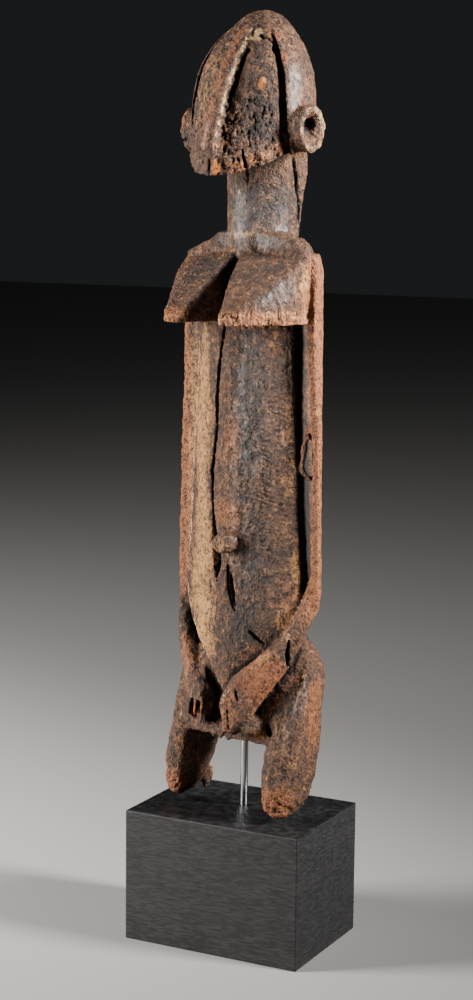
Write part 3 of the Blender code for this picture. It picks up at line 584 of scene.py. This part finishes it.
BARE_MARKS = (
    ((-24.0, 9.0, 205.0), (15.0, 16.0, 78.0), 0.75),
    ((-36.0, -1.0, 190.0), (7.0, 5.0, 110.0), 0.55),
    ((-22.0, 10.0, 125.0), (18.0, 16.0, 56.0), 0.75),
    ((-14.0, 12.0, 92.0), (17.0, 10.0, 26.0), 0.55),
    ((-24.0, 7.0, 84.0), (10.0, 8.0, 16.0), 0.5),
    ((30.0, 3.0, 200.0), (6.0, 8.0, 44.0), 0.3),
    ((35.5, 1.0, 128.0), (4.5, 6.0, 30.0), 0.55),
    ((31.0, 6.0, 103.0), (8.0, 8.0, 12.0), 0.5),
    ((26.0, 17.0, 85.0), (16.0, 4.0, 6.0), 0.6),
    ((3.0, 7.0, 297.0), (18.0, 9.0, 3.0), 0.6),
    ((38.5, 2.5, 275.0), (2.2, 6.0, 12.0), 0.8),
    ((-14.0, 12.0, 366.0), (13.0, 16.0, 30.0), 0.4),
    ((1.6, 20.5, 140.6), (8.0, 3.0, 8.0), 0.6),
)
DARK_MARKS = (
    ((11.0, 12.0, 222.0), (14.0, 14.0, 56.0), 0.65),
    ((15.0, 12.0, 160.0), (16.0, 12.0, 60.0), 0.45),
    ((14.0, 12.0, 112.0), (18.0, 12.0, 34.0), 0.5),
    ((4.0, -8.0, 312.0), (30.0, 30.0, 26.0), 1.0),
    ((22.0, 12.0, 281.0), (22.0, 20.0, 18.0), 0.5),
    ((-16.0, 16.0, 279.0), (20.0, 22.0, 20.0), 0.7),
    ((0.0, -16.0, 380.0), (48.0, 28.0, 44.0), 0.55),
    ((30.0, 7.0, 60.0), (11.0, 9.0, 20.0), 0.6),
    ((0.0, -24.0, 180.0), (50.0, 16.0, 180.0), 0.6),
    ((34.0, 10.0, 26.0), (14.0, 14.0, 20.0), 0.35),
    ((-30.0, 8.0, 30.0), (14.0, 12.0, 20.0), 0.5),
    # Painted shadow: the far hand's shadow in the pocket between the hands
    ((-6.0, 5.0, 54.0), (14.0, 9.0, 16.0), 1.4),
    ((8.0, 14.0, 92.0), (16.0, 9.0, 18.0), 0.6),
    ((20.0, 16.0, 354.0), (14.0, 15.0, 28.0), 0.9),
    ((18.0, 12.0, 378.0), (9.0, 9.0, 12.0), 0.6),
    ((12.0, 9.0, 384.0), (7.0, 7.0, 10.0), 0.6),
    # Painted shadow: the cavity between the lump and the near thigh
    ((18.0, 14.0, 47.0), (7.0, 8.0, 7.0), 0.5),
)
PALE_MARKS = (
    ((9.0, 5.0, 395.0), (6.0, 6.0, 5.5), 0.9),
    ((-8.0, 8.0, 390.0), (7.0, 6.0, 5.0), 0.4),
    ((21.0, 14.0, 373.0), (5.0, 6.0, 5.0), 0.3),
    ((40.6, -2.0, 349.0), (3.4, 24.0, 24.0), 1.0),
    ((-40.0, 2.0, 350.0), (3.0, 12.0, 13.0), 0.7),
    ((33.0, 10.0, 96.0), (8.0, 5.0, 7.0), 0.45),
    ((-25.0, 12.0, 56.0), (6.0, 4.0, 12.0), 0.5),
    ((8.6, 25.4, 62.0), (3.0, 3.0, 10.0), 0.4),
)
FRESH_MARKS = (
    ((3.9, 30.5, 329.5), (3.2, 5.0, 6.0), 1.3),
    ((-19.5, 14.0, 49.0), (6.0, 5.0, 8.0), 0.9),
    ((21.5, 12.0, 42.5), (4.5, 6.0, 5.0), 0.8),
    ((35.5, 5.0, 351.0), (4.0, 4.0, 8.0), 0.8),
    ((-37.0, 6.0, 352.0), (4.0, 4.0, 9.0), 0.7),
    ((-20.0, 37.0, 256.0), (4.0, 4.0, 4.0), 0.5),
    ((19.6, 14.8, 370.6), (3.2, 4.0, 5.0), 1.0),
)
GLOSS_MARKS = (
    ((4.0, -8.0, 310.0), (30.0, 30.0, 22.0), 1.0),
    ((13.0, 11.5, 216.0), (11.0, 10.0, 52.0), 1.2),
    ((26.0, 8.0, 215.0), (9.0, 9.0, 44.0), 0.8),
    ((31.0, 20.0, 270.0), (16.0, 20.0, 14.0), 1.0),
    ((0.0, -14.0, 380.0), (48.0, 26.0, 44.0), 0.9),
    ((33.0, 0.0, 370.0), (10.0, 14.0, 34.0), 1.0),
    ((10.0, 0.0, 296.0), (40.0, 20.0, 10.0), 0.9),
    ((41.0, 4.0, 62.0), (4.0, 9.0, 22.0), 0.8),
    ((12.0, 12.0, 170.0), (20.0, 12.0, 90.0), 0.5),
    ((10.0, 24.0, 55.0), (8.0, 8.0, 18.0), 0.6),
    ((-1.5, 32.0, 345.0), (3.0, 8.0, 14.0), 1.0),
    ((-10.0, 14.0, 282.0), (20.0, 20.0, 16.0), 0.4),
    ((-38.0, 10.0, 72.0), (10.0, 10.0, 20.0), 0.5),
)


def painted(places, marks):
    """How strongly a finish is laid on by its marks."""
    total = np.zeros(len(places))
    for centre, size, strength in marks:
        total += strength * blotch(places, centre, size)
    return total


def carve_marks(places, normals):
    """How far each part of the skin shows each finish, from 0 to 1. The dark finish also carries painted
    shade and shadow, the pale finish painted highlights.
    """
    side, forward, up = places.T
    broad = rough_noise(places, 12.0, 101)
    middle = rough_noise(places, (4.0, 4.0, 7.0), 105)
    fine = rough_noise(places, (1.6, 1.6, 4.0), 109)
    arms = ramp(np.abs(side), 38.0, 39.5) * band(up, 96.0, 112.0, 284.0, 290.0) * (forward < 8.0)
    # Painted shade: the torso's side wall in the narrow gap behind the near arm is darkened
    near_gap_painted_shade = band(side, 30.0, 33.0, 38.5, 40.0) * (forward < -2.6) * band(up, 110.0, 124.0, 246.0, 252.0)
    crack_sides = along_path(places, [(x, y, z, reach + 1.6) for x, y, z, reach in BELLY_CRACK])
    rim = rim_share(places, normals)

    russet = painted(places, RUSSET_MARKS) + 0.9 * arms + 0.8 * along_path(places, JAW_EDGE) + rim
    russet += 0.9 * along_path(places, RIDGE_LINE)
    bare = painted(places, BARE_MARKS) + 0.5 * crack_sides
    dark = painted(places, DARK_MARKS) + near_gap_painted_shade
    pale = painted(places, PALE_MARKS) + 1.1 * along_path(places, RIDGE_FLANK)
    # Painted highlight: the lines along the torso's and the hip's crests are painted pale
    pale += 0.45 * rim + 0.35 * along_path(places, JAW_EDGE) + 1.0 * along_path(places, TORSO_CREST)
    pale += 0.3 * along_path(places, HIP_CREST) + along_path(places, NOSE_EDGE)
    fresh = painted(places, FRESH_MARKS)
    gloss = painted(places, GLOSS_MARKS)
    return {
        "russet": np.clip(russet + 0.16 * broad + 0.10 * fine, 0.0, 1.0),
        "bare": np.clip(bare + 0.15 * middle + 0.05 * broad, 0.0, 1.0),
        "dark": np.clip(dark + 0.25 * broad, 0.0, 1.0),
        "pale": np.clip(pale * (0.7 + 1.1 * fine), 0.0, 1.0),
        "fresh": np.clip(fresh * (0.8 + 0.5 * fine), 0.0, 1.0),
        "gloss": np.clip(gloss + 0.25 * broad, 0.0, 1.0),
    }


def openness(mesh, reach):
    """How open the air is above each point: 1 on open skin, 0 deep in a gap."""
    tree = BVHTree.FromPolygons(
        [vertex.co for vertex in mesh.vertices], [face.vertices for face in mesh.polygons]
    )
    points = mesh_points(mesh)
    above = points + mesh_normals(mesh) * reach
    found = [tree.find_nearest(Vector(point))[3] for point in above]
    return np.clip(np.array(found) / reach, 0.0, 1.0)


def sunk(mean, points, out, gain):
    """0.5 on level skin, more in hollows and less on crests."""
    depth = ((mean - points) * out).sum(axis=1)
    return np.clip(0.5 + gain * depth * MILLIMETRES, 0.0, 1.0)


def add_attribute(mesh, name, values):
    layer = mesh.attributes.new(name, "FLOAT", "POINT")
    layer.data.foreach_set("value", np.ascontiguousarray(values, dtype=np.float32))


# Slivers of wood that stand off the carving: foot, tip, width and thickness
SLIVERS = (
    ((38.8, -2.4, 203.0), (36.8, -1.5, 190.0), 3.4, 2.6),
    ((36.9, -1.5, 192.0), (35.8, -1.2, 181.0), 3.4, 2.4),
    ((35.8, -1.2, 183.0), (36.2, -1.3, 176.5), 2.8, 2.0),
    ((36.0, -1.3, 179.0), (40.8, -2.2, 174.5), 2.6, 2.0),
    ((-21.0, 13.2, 55.0), (-21.0, 14.8, 43.4), 1.9, 2.8),
    ((-16.6, 12.8, 56.0), (-16.2, 14.6, 41.6), 1.7, 2.6),
    ((-26.4, 11.4, 54.0), (-27.0, 12.4, 44.4), 2.6, 3.4),
    ((-11.0, 10.5, 41.0), (-10.0, 11.6, 35.0), 3.0, 2.4),
    ((-5.0, 10.5, 41.0), (-5.6, 12.0, 34.8), 3.4, 2.6),
    ((1.0, 11.0, 41.0), (0.2, 12.6, 35.6), 3.0, 3.0),
    ((-18.0, 9.0, 41.0), (-17.0, 10.4, 36.4), 2.6, 2.2),
    ((5.2, 21.0, 48.0), (4.2, 22.6, 40.5), 5.0, 4.0),
    ((-27.0, -2.0, 12.0), (-25.6, -1.0, 1.8), 4.0, 5.0),
    ((-29.0, -7.0, 12.0), (-28.4, -7.6, 3.4), 3.6, 3.6),
    ((33.0, -6.0, 10.0), (34.5, -7.4, 2.8), 4.0, 4.0),
)


def add_sliver(shape, foot, tip, width, thickness):
    """Add one tapering shard with four sides to the figure's shape."""
    foot, tip = np.asarray(foot, dtype=float), np.asarray(tip, dtype=float)
    along = (tip - foot) / np.linalg.norm(tip - foot)
    across = np.cross(along, (0.0, 1.0, 0.0))
    across /= np.linalg.norm(across)
    through = np.cross(along, across)
    rows = []
    for centre, share in ((foot, 1.0), (0.5 * (foot + tip), 0.95), (tip, 0.55)):
        corners = []
        for a, b in ((-0.5, -0.5), (0.5, -0.5), (0.5, 0.5), (-0.5, 0.5)):
            corners.append(centre + share * (a * width * across + b * thickness * through))
        rows.append([shape.verts.new(point) for point in from_carving(np.array(corners))])
    for below, above in zip(rows, rows[1:]):
        for i in range(4):
            j = (i + 1) % 4
            shape.faces.new((below[i], below[j], above[j], above[i]))
    shape.faces.new(list(reversed(rows[0])))
    shape.faces.new(rows[-1])


def rough_solid():
    """The figure's solid with its slivers, before its skin is made."""
    made = merged_copy(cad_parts["figure"], "carving")
    shape = bmesh.new()
    for foot, tip, width, thickness in SLIVERS:
        add_sliver(shape, foot, tip, width, thickness)
    bmesh.ops.recalc_face_normals(shape, faces=shape.faces)
    shape.from_mesh(made.data)
    shape.to_mesh(made.data)
    shape.free()
    return made


def carve_figure(settings):
    """Make the figure's detailed skin from its solid."""
    made = rough_solid()
    with_modifier(made, "REMESH", mode="VOXEL", voxel_size=settings.skin_step, adaptivity=0.0)
    mesh = made.data
    edges = edge_pairs(mesh)
    points = mesh_points(mesh)
    places = to_carving(points)
    sharp = np.maximum(crack_depth(places) / SHARP_CRACK, 0.8 * along_path(places, RIDGE_LINE))
    share = settings.edge_wear * (1.0 - 0.8 * np.clip(sharp, 0.0, 1.0))
    points = worn_smooth(points, edges, settings.wear_rounds, share)
    set_mesh_points(mesh, points)
    places = to_carving(points)
    normals = turned(mesh_normals(mesh))

    cracks = crack_depth(places)
    places = places + normals * (carved_relief(places, normals) * settings.relief - cracks)[:, None]
    points = from_carving(places)
    points[:, 2] = np.maximum(points[:, 2], (STUMP_HEIGHT - SOLE_REACH) / MILLIMETRES)
    set_mesh_points(mesh, points)

    marks = carve_marks(places, normals)
    # Crack depth, which paints the cracks dark with shade
    marks["crack"] = np.clip(cracks / DARK_CRACK, 0.0, 1.0)
    out = mesh_normals(mesh)
    steps = np.full(len(points), 0.5)
    near_mean = worn_smooth(points, edges, PIT_ROUNDS, steps)
    far_mean = worn_smooth(near_mean, edges, settings.hollow_rounds, steps)
    marks["pit"] = sunk(near_mean, points, out, PIT_GAIN)
    marks["hollow"] = sunk(far_mean, points, out, HOLLOW_GAIN)
    for name, values in marks.items():
        add_attribute(mesh, name, values)

    ratio = settings.face_count / triangle_count(mesh)
    if ratio < 1.0:
        with_modifier(made, "DECIMATE", ratio=ratio)
    mesh = made.data
    # Open air above the skin: narrow gaps with little of it are painted with shade
    add_attribute(mesh, "air_near", openness(mesh, NEAR_AIR))
    add_attribute(mesh, "air_far", openness(mesh, FAR_AIR))
    mesh.polygons.foreach_set("use_smooth", [True] * len(mesh.polygons))
    return made


class Wire:
    """A value in a finish. Sums and products of wires add Math nodes."""

    def __init__(self, finish, socket):
        self.finish = finish
        self.socket = socket

    def maths(self, operation, *values):
        return self.finish.add("ShaderNodeMath", {"operation": operation}, dict(enumerate(values)))

    def __add__(self, other):
        return self.maths("ADD", self, other)

    def __radd__(self, other):
        return self.maths("ADD", other, self)

    def __sub__(self, other):
        return self.maths("SUBTRACT", self, other)

    def __rsub__(self, other):
        return self.maths("SUBTRACT", other, self)

    def __mul__(self, other):
        return self.maths("MULTIPLY", self, other)

    def __rmul__(self, other):
        return self.maths("MULTIPLY", other, self)

    def held(self):
        """The value held between 0 and 1."""
        return self.finish.add("ShaderNodeMath", {"operation": "ADD", "use_clamp": True}, {0: self, 1: 0.0})

    def step(self, low, high):
        """A smooth step from 0 at low to 1 at high."""
        settings = {"interpolation_type": "SMOOTHSTEP"}
        values = {"Value": self, "From Min": low, "From Max": high}
        return self.finish.add("ShaderNodeMapRange", settings, values)


class Finish:
    """One procedural material and the one method that adds its nodes."""

    def __init__(self, name):
        self.material = bpy.data.materials.new(name)
        self.material.use_nodes = True
        self.tree = self.material.node_tree
        self.tree.nodes.clear()

    def add(self, kind, settings=None, sockets=None, output=0):
        node = self.tree.nodes.new(kind)
        for key, value in (settings or {}).items():
            setattr(node, key, value)
        for key, value in (sockets or {}).items():
            if isinstance(value, Wire):
                self.tree.links.new(value.socket, node.inputs[key])
            else:
                node.inputs[key].default_value = value
        return Wire(self, node.outputs[output])

    def object_place(self, scale):
        """Object coordinates in metres, stretched by a scale."""
        place = self.add("ShaderNodeTexCoord", output="Object")
        return self.add("ShaderNodeMapping", {"vector_type": "POINT"}, {"Vector": place, "Scale": scale})

    def noise(self, place, scale, detail, roughness):
        values = {"Vector": place, "Scale": scale, "Detail": detail, "Roughness": roughness}
        return self.add("ShaderNodeTexNoise", {"noise_dimensions": "3D"}, values)

    def attribute(self, name):
        return self.add("ShaderNodeAttribute", {"attribute_name": name}, output="Fac")

    def mix(self, share, first, second):
        """One colour mixed with another."""
        return self.add("ShaderNodeMix", {"data_type": "RGBA"}, {0: share, 6: first, 7: second}, output=2)

    def bump(self, height, strength, distance, normal=None):
        values = {"Height": height, "Strength": strength, "Distance": distance}
        if normal is not None:
            values["Normal"] = normal
        return self.add("ShaderNodeBump", None, values)

    def shade(self, **sockets):
        values = {key.replace("_", " "): value for key, value in sockets.items()}
        shader = self.add("ShaderNodeBsdfPrincipled", None, values)
        output = self.tree.nodes.new("ShaderNodeOutputMaterial")
        self.tree.links.new(shader.socket, output.inputs["Surface"])
        return self.material


def colour(values):
    return (values[0], values[1], values[2], 1.0)


def old_wood(settings):
    """Old carved wood: a dark handled patina worn through to brown, tan and pale wood, with painted shade
    in pits, cracks and gaps and painted highlights along crests.
    """
    finish = Finish("old_wood")
    place = finish.object_place((1.0, 1.0, 1.0))
    along_grain = finish.object_place((1.0, 1.0, 0.2))
    mottle = finish.noise(place, 330.0, 4.0, 0.6)
    patches = finish.noise(place, 75.0, 4.0, 0.6)
    specks = finish.noise(place, 900.0, 3.0, 0.6)
    grain = finish.noise(along_grain, 700.0, 3.0, 0.6)
    russet = finish.attribute("russet")
    bare = finish.attribute("bare")
    dark = finish.attribute("dark")
    pale = finish.attribute("pale")
    fresh = finish.attribute("fresh")
    gloss = finish.attribute("gloss")
    crack = finish.attribute("crack")
    pit = finish.attribute("pit")
    hollow = finish.attribute("hollow")
    air_near = finish.attribute("air_near")
    air_far = finish.attribute("air_far")
    flicker = (mottle * 0.45 + grain * 0.25 + specks * 0.30 - 0.5) * 3.8

    warmth = (0.45 + flicker + (patches - 0.5) * 2.0).held()
    skin = finish.mix(warmth, colour(settings.brown_patina), colour(settings.warm_patina))
    skin = finish.mix((russet * 1.3 - 0.3 + flicker * 0.9).held(), skin, colour(settings.russet_wood))
    laid_bare = (bare * 1.2 - 0.25 + flicker * 1.0 + (patches - 0.5) * 1.3).held() * 0.85
    skin = finish.mix(laid_bare, skin, colour(settings.bare_wood))
    # The dark finish: real dark patina, and painted shade and shadow in the near arm's gap and between the
    # hands
    skin = finish.mix((dark * 1.3 - 0.3 - flicker * 0.9).held() * 0.9, skin, colour(settings.dark_patina_and_painted_shade))
    faded = ((hollow - 0.5) * 2.6 + flicker * 0.7 - 0.15).held() * air_far
    skin = finish.mix(faded * 0.7, skin, colour(settings.faded_wood))
    # Pale wood on chipped rims and worn edges, and a painted highlight along the crests
    skin = finish.mix((pale * 1.4 - 0.45 + flicker * 1.2).held() * 0.8, skin, colour(settings.pale_wood_and_highlight))
    skin = finish.mix((fresh * 1.5 - 0.4 + flicker).held() * 0.95, skin, colour(settings.fresh_wood))
    dots = specks * 0.6 + mottle * 0.4
    skin = finish.mix(dots.step(0.54, 0.66) * 0.25, skin, colour(settings.faded_wood))
    skin = finish.mix((0.485 - dots).step(0.0, 0.09) * 0.8, skin, colour(settings.grime_and_painted_shade))
    # Painted shade: pits, cracks and narrow gaps with little open air are darkened to the grime colour
    shadow = (pit - 0.54).step(0.0, 0.25) * 0.75 + (0.80 - air_near).step(0.0, 0.6) * 0.8
    shadow = (shadow + (0.6 - air_far).step(0.0, 0.5) * 0.85 + crack.step(0.25, 0.8)).held()
    skin = finish.mix(shadow, skin, colour(settings.grime_and_painted_shade))

    roughness = 0.66 - gloss * 0.20 + (specks - 0.5) * 0.5 + shadow * 0.4
    polish = (gloss - 0.25 + flicker * 0.9).held() * 0.5 * (1.0 - shadow)
    fine = finish.bump(specks * 0.7 + grain * 0.3, 1.0, 0.0016)
    normal = finish.bump(mottle, 1.0, 0.0022, fine)
    return finish.shade(
        Base_Color=skin,
        Roughness=roughness,
        Normal=normal,
        Specular_IOR_Level=0.28,
        Coat_Weight=polish,
        Coat_Roughness=0.42,
    )


def black_wood(settings):
    """Black stained wood with fine level grain and faint scratches."""
    finish = Finish("black_stained_wood")
    along_grain = finish.object_place((0.16, 0.16, 1.0))
    place = finish.object_place((1.0, 1.0, 1.0))
    fibres = finish.noise(along_grain, 1300.0, 4.0, 0.6)
    bands = finish.noise(along_grain, 130.0, 3.0, 0.5)
    dust = finish.noise(place, 60.0, 4.0, 0.6)
    skin = finish.mix(fibres.step(0.42, 0.62), colour(settings.stain_dark), colour(settings.stain_pale))
    skin = finish.mix(bands.step(0.4, 0.7) * 0.25, skin, colour(settings.stain_pale))
    roughness = 0.50 + (dust - 0.5) * 0.2 + (fibres - 0.5) * 0.25
    normal = finish.bump(fibres, 0.6, 0.0003)
    return finish.shade(Base_Color=skin, Roughness=roughness, Normal=normal, Specular_IOR_Level=0.32)


def polished_steel(settings):
    """Round steel bar with fine marks along it."""
    finish = Finish("polished_steel")
    along_bar = finish.object_place((1.0, 1.0, 0.04))
    marks = finish.noise(along_bar, 2200.0, 3.0, 0.6)
    skin = finish.mix(marks.step(0.3, 0.7), colour(settings.steel_marks), colour(settings.steel))
    roughness = 0.22 + (marks - 0.5) * 0.16
    return finish.shade(Base_Color=skin, Roughness=roughness, Metallic=1.0)


def plain_floor(settings):
    finish = Finish("plain_floor")
    place = finish.object_place((1.0, 1.0, 1.0))
    cloud = finish.noise(place, 3.0, 2.0, 0.5)
    shade = [0.96 * value for value in settings.floor_colour]
    skin = finish.mix(cloud, colour(settings.floor_colour), colour(shade))
    return finish.shade(Base_Color=skin, Roughness=0.8)


def give_finish(made, material):
    made.data.materials.clear()
    made.data.materials.append(material)


class CarvedFigureSettings(bpy.types.PropertyGroup):
    """Sizes and colours of the wooden figure."""

    skin_step: FloatProperty(
        name="Skin step", description="Size of the cells that the carved skin is made with",
        default=0.00055, min=0.0003, unit="LENGTH", precision=5,
    )
    face_count: IntProperty(
        name="Triangles", description="Triangles left in the finished carving", default=194000,
    )
    edge_wear: FloatProperty(
        name="Edge wear", description="How strongly the edges are worn round", default=0.5,
    )
    wear_rounds: IntProperty(
        name="Wear rounds", description="How often the edges are worn", default=12,
    )
    relief: FloatProperty(
        name="Relief", description="Strength of the pits, tool marks and grain", default=1.0,
    )
    hollow_rounds: IntProperty(
        name="Hollow rounds", description="How wide the lighter shallow hollows are", default=26,
    )
    # Dark patina colour, also used as painted shade in the near arm's gap and painted shadow between the
    # hands
    dark_patina_and_painted_shade: FloatVectorProperty(
        name="Dark patina", description="Handled blue grey surface", subtype="COLOR",
        default=(0.017, 0.0125, 0.011), size=3,
    )
    brown_patina: FloatVectorProperty(
        name="Brown patina", description="Dull brown surface", subtype="COLOR",
        default=(0.034, 0.0175, 0.0105), size=3,
    )
    warm_patina: FloatVectorProperty(
        name="Warm patina", description="Warmer brown between the dull patches", subtype="COLOR",
        default=(0.110, 0.049, 0.023), size=3,
    )
    russet_wood: FloatVectorProperty(
        name="Russet wood", description="Orange brown worn wood", subtype="COLOR",
        default=(0.215, 0.073, 0.025), size=3,
    )
    bare_wood: FloatVectorProperty(
        name="Bare wood", description="Yellow tan wood without patina", subtype="COLOR",
        default=(0.46, 0.225, 0.075), size=3,
    )
    faded_wood: FloatVectorProperty(
        name="Faded wood", description="Lighter specks and shallow hollows", subtype="COLOR",
        default=(0.34, 0.165, 0.078), size=3,
    )
    # Pale wood colour, also used as a painted highlight along the torso and hip crests
    pale_wood_and_highlight: FloatVectorProperty(
        name="Pale wood", description="Dry pale wood on chipped rims", subtype="COLOR",
        default=(0.64, 0.40, 0.19), size=3,
    )
    fresh_wood: FloatVectorProperty(
        name="Fresh wood", description="Bright orange wood in breaks", subtype="COLOR",
        default=(0.52, 0.16, 0.02), size=3,
    )
    # Grime colour: real dark specks, and painted shade in pits, cracks and narrow gaps
    grime_and_painted_shade: FloatVectorProperty(
        name="Deep grime", description="Dirt in cracks, pits and gaps", subtype="COLOR",
        default=(0.010, 0.008, 0.007), size=3,
    )


class StandSettings(bpy.types.PropertyGroup):
    """Colours of the block and the bar."""

    stain_dark: FloatVectorProperty(
        name="Dark stain", description="Darkest colour of the block", subtype="COLOR",
        default=(0.006, 0.006, 0.0065), size=3,
    )
    stain_pale: FloatVectorProperty(
        name="Pale stain", description="Palest colour of the block's fibres", subtype="COLOR",
        default=(0.018, 0.018, 0.0185), size=3,
    )
    steel: FloatVectorProperty(
        name="Steel", description="Colour of the bar", subtype="COLOR",
        default=(0.62, 0.62, 0.63), size=3,
    )
    steel_marks: FloatVectorProperty(
        name="Steel marks", description="Darker marks along the bar", subtype="COLOR",
        default=(0.34, 0.34, 0.35), size=3,
    )


class StudioSettings(bpy.types.PropertyGroup):
    """The floor and the soft lights."""

    floor_colour: FloatVectorProperty(
        name="Floor", description="Colour of the plain floor", subtype="COLOR",
        default=(0.36, 0.355, 0.345), size=3,
    )
    left_power: FloatProperty(
        name="Left light", description="Power of the tall light on the left", default=52.0, unit="POWER",
    )
    right_power: FloatProperty(
        name="Right light", description="Power of the tall light on the right", default=5.5, unit="POWER",
    )
    sky_strength: FloatProperty(
        name="Surroundings", description="Strength of the light from all round", default=0.015,
    )


class FIGURE_OT_carve(bpy.types.Operator):
    """Carve the wooden figure's detail over its solid"""

    bl_idname = "carved_figure.carve"
    bl_label = "Carve figure"

    def execute(self, context):
        settings = context.scene.carved_figure
        made = carve_figure(settings)
        give_finish(made, old_wood(settings))
        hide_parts("figure")
        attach(made, "root")
        return {"FINISHED"}


class FIGURE_OT_stand(bpy.types.Operator):
    """Finish the block and the bar that hold the figure"""

    bl_idname = "carved_figure.stand"
    bl_label = "Finish stand"

    def execute(self, context):
        settings = context.scene.figure_stand
        give_finish(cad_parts["plinth"], black_wood(settings))
        give_finish(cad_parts["rod"], polished_steel(settings))
        return {"FINISHED"}


def soft_light(name, place, target, size, power, tint, spread=math.pi):
    data = bpy.data.lights.new(name, "AREA")
    data.shape = "RECTANGLE"
    data.size, data.size_y = size
    data.energy = power
    data.color = tint
    data.spread = spread
    made = bpy.data.objects.new(name, data)
    made.location = place
    made.rotation_euler = (Vector(target) - Vector(place)).to_track_quat("-Z", "Y").to_euler()
    bpy.context.scene.collection.objects.link(made)


def photo_camera():
    """The camera at the place and angle that the photograph was taken from."""
    cy, sy = math.cos(CAMERA_YAW), math.sin(CAMERA_YAW)
    cp, sp = math.cos(CAMERA_PITCH), math.sin(CAMERA_PITCH)
    cr, sr = math.cos(CAMERA_ROLL), math.sin(CAMERA_ROLL)
    ahead = Vector((-sy * cp, cy * cp, -sp))
    right = Vector((cy, sy, 0.0))
    down = ahead.cross(right)
    across = cr * right + sr * down
    below = -sr * right + cr * down
    data = bpy.data.cameras.new("photo_camera")
    data.sensor_fit = "AUTO"
    data.sensor_width = SENSOR
    data.lens = FOCAL_PIXELS * SENSOR / IMAGE_HEIGHT
    data.clip_start, data.clip_end = CLIP_RANGE
    made = bpy.data.objects.new("photo_camera", data)
    axes = Matrix((across, -below, -ahead)).transposed().to_4x4()
    made.matrix_world = Matrix.Translation(CAMERA_PLACE) @ axes
    bpy.context.scene.collection.objects.link(made)
    bpy.context.scene.camera = made


class FIGURE_OT_stage(bpy.types.Operator):
    """Set the plain floor, the soft lights and the camera"""

    bl_idname = "carved_figure.stage"
    bl_label = "Set stage"

    def execute(self, context):
        settings = context.scene.figure_studio
        shape = bmesh.new()
        bmesh.ops.create_grid(shape, x_segments=2, y_segments=2, size=FLOOR_REACH)
        mesh = bpy.data.meshes.new("floor")
        shape.to_mesh(mesh)
        shape.free()
        floor = shown_object(mesh, "floor")
        give_finish(floor, plain_floor(settings))
        soft_light(
            "left_light", LEFT_LIGHT_PLACE, LEFT_LIGHT_AIM, LEFT_LIGHT_SIZE,
            settings.left_power, LEFT_LIGHT_TINT,
        )
        soft_light(
            "right_light", RIGHT_LIGHT_PLACE, RIGHT_LIGHT_AIM, RIGHT_LIGHT_SIZE,
            settings.right_power, RIGHT_LIGHT_TINT, RIGHT_LIGHT_SPREAD,
        )
        world = bpy.data.worlds.new("soft_surroundings")
        world.use_nodes = True
        sky = world.node_tree.nodes["Background"]
        sky.inputs["Color"].default_value = colour(SKY_TINT)
        sky.inputs["Strength"].default_value = settings.sky_strength
        context.scene.world = world
        photo_camera()
        return {"FINISHED"}


class FIGURE_PT_carving(bpy.types.Panel):
    """The steps and settings of the carved figure"""

    bl_label = "Carved figure"
    bl_idname = "FIGURE_PT_carving"
    bl_space_type = "VIEW_3D"
    bl_region_type = "UI"
    bl_category = "Carved figure"

    def draw(self, context):
        layout = self.layout
        for operator in (FIGURE_OT_carve, FIGURE_OT_stand, FIGURE_OT_stage):
            layout.operator(operator.bl_idname)
        for group in (context.scene.carved_figure, context.scene.figure_stand, context.scene.figure_studio):
            for name in group.__annotations__:
                layout.prop(group, name)


CLASSES = (
    CarvedFigureSettings,
    StandSettings,
    StudioSettings,
    FIGURE_OT_carve,
    FIGURE_OT_stand,
    FIGURE_OT_stage,
    FIGURE_PT_carving,
)


def register():
    for kind in CLASSES:
        bpy.utils.register_class(kind)
    bpy.types.Scene.carved_figure = PointerProperty(type=CarvedFigureSettings)
    bpy.types.Scene.figure_stand = PointerProperty(type=StandSettings)
    bpy.types.Scene.figure_studio = PointerProperty(type=StudioSettings)


def unregister():
    del bpy.types.Scene.figure_studio
    del bpy.types.Scene.figure_stand
    del bpy.types.Scene.carved_figure
    for kind in reversed(CLASSES):
        bpy.utils.unregister_class(kind)


def main():
    register()
    bpy.ops.carved_figure.carve()
    bpy.ops.carved_figure.stand()
    bpy.ops.carved_figure.stage()


if __name__ == "__main__":
    main()
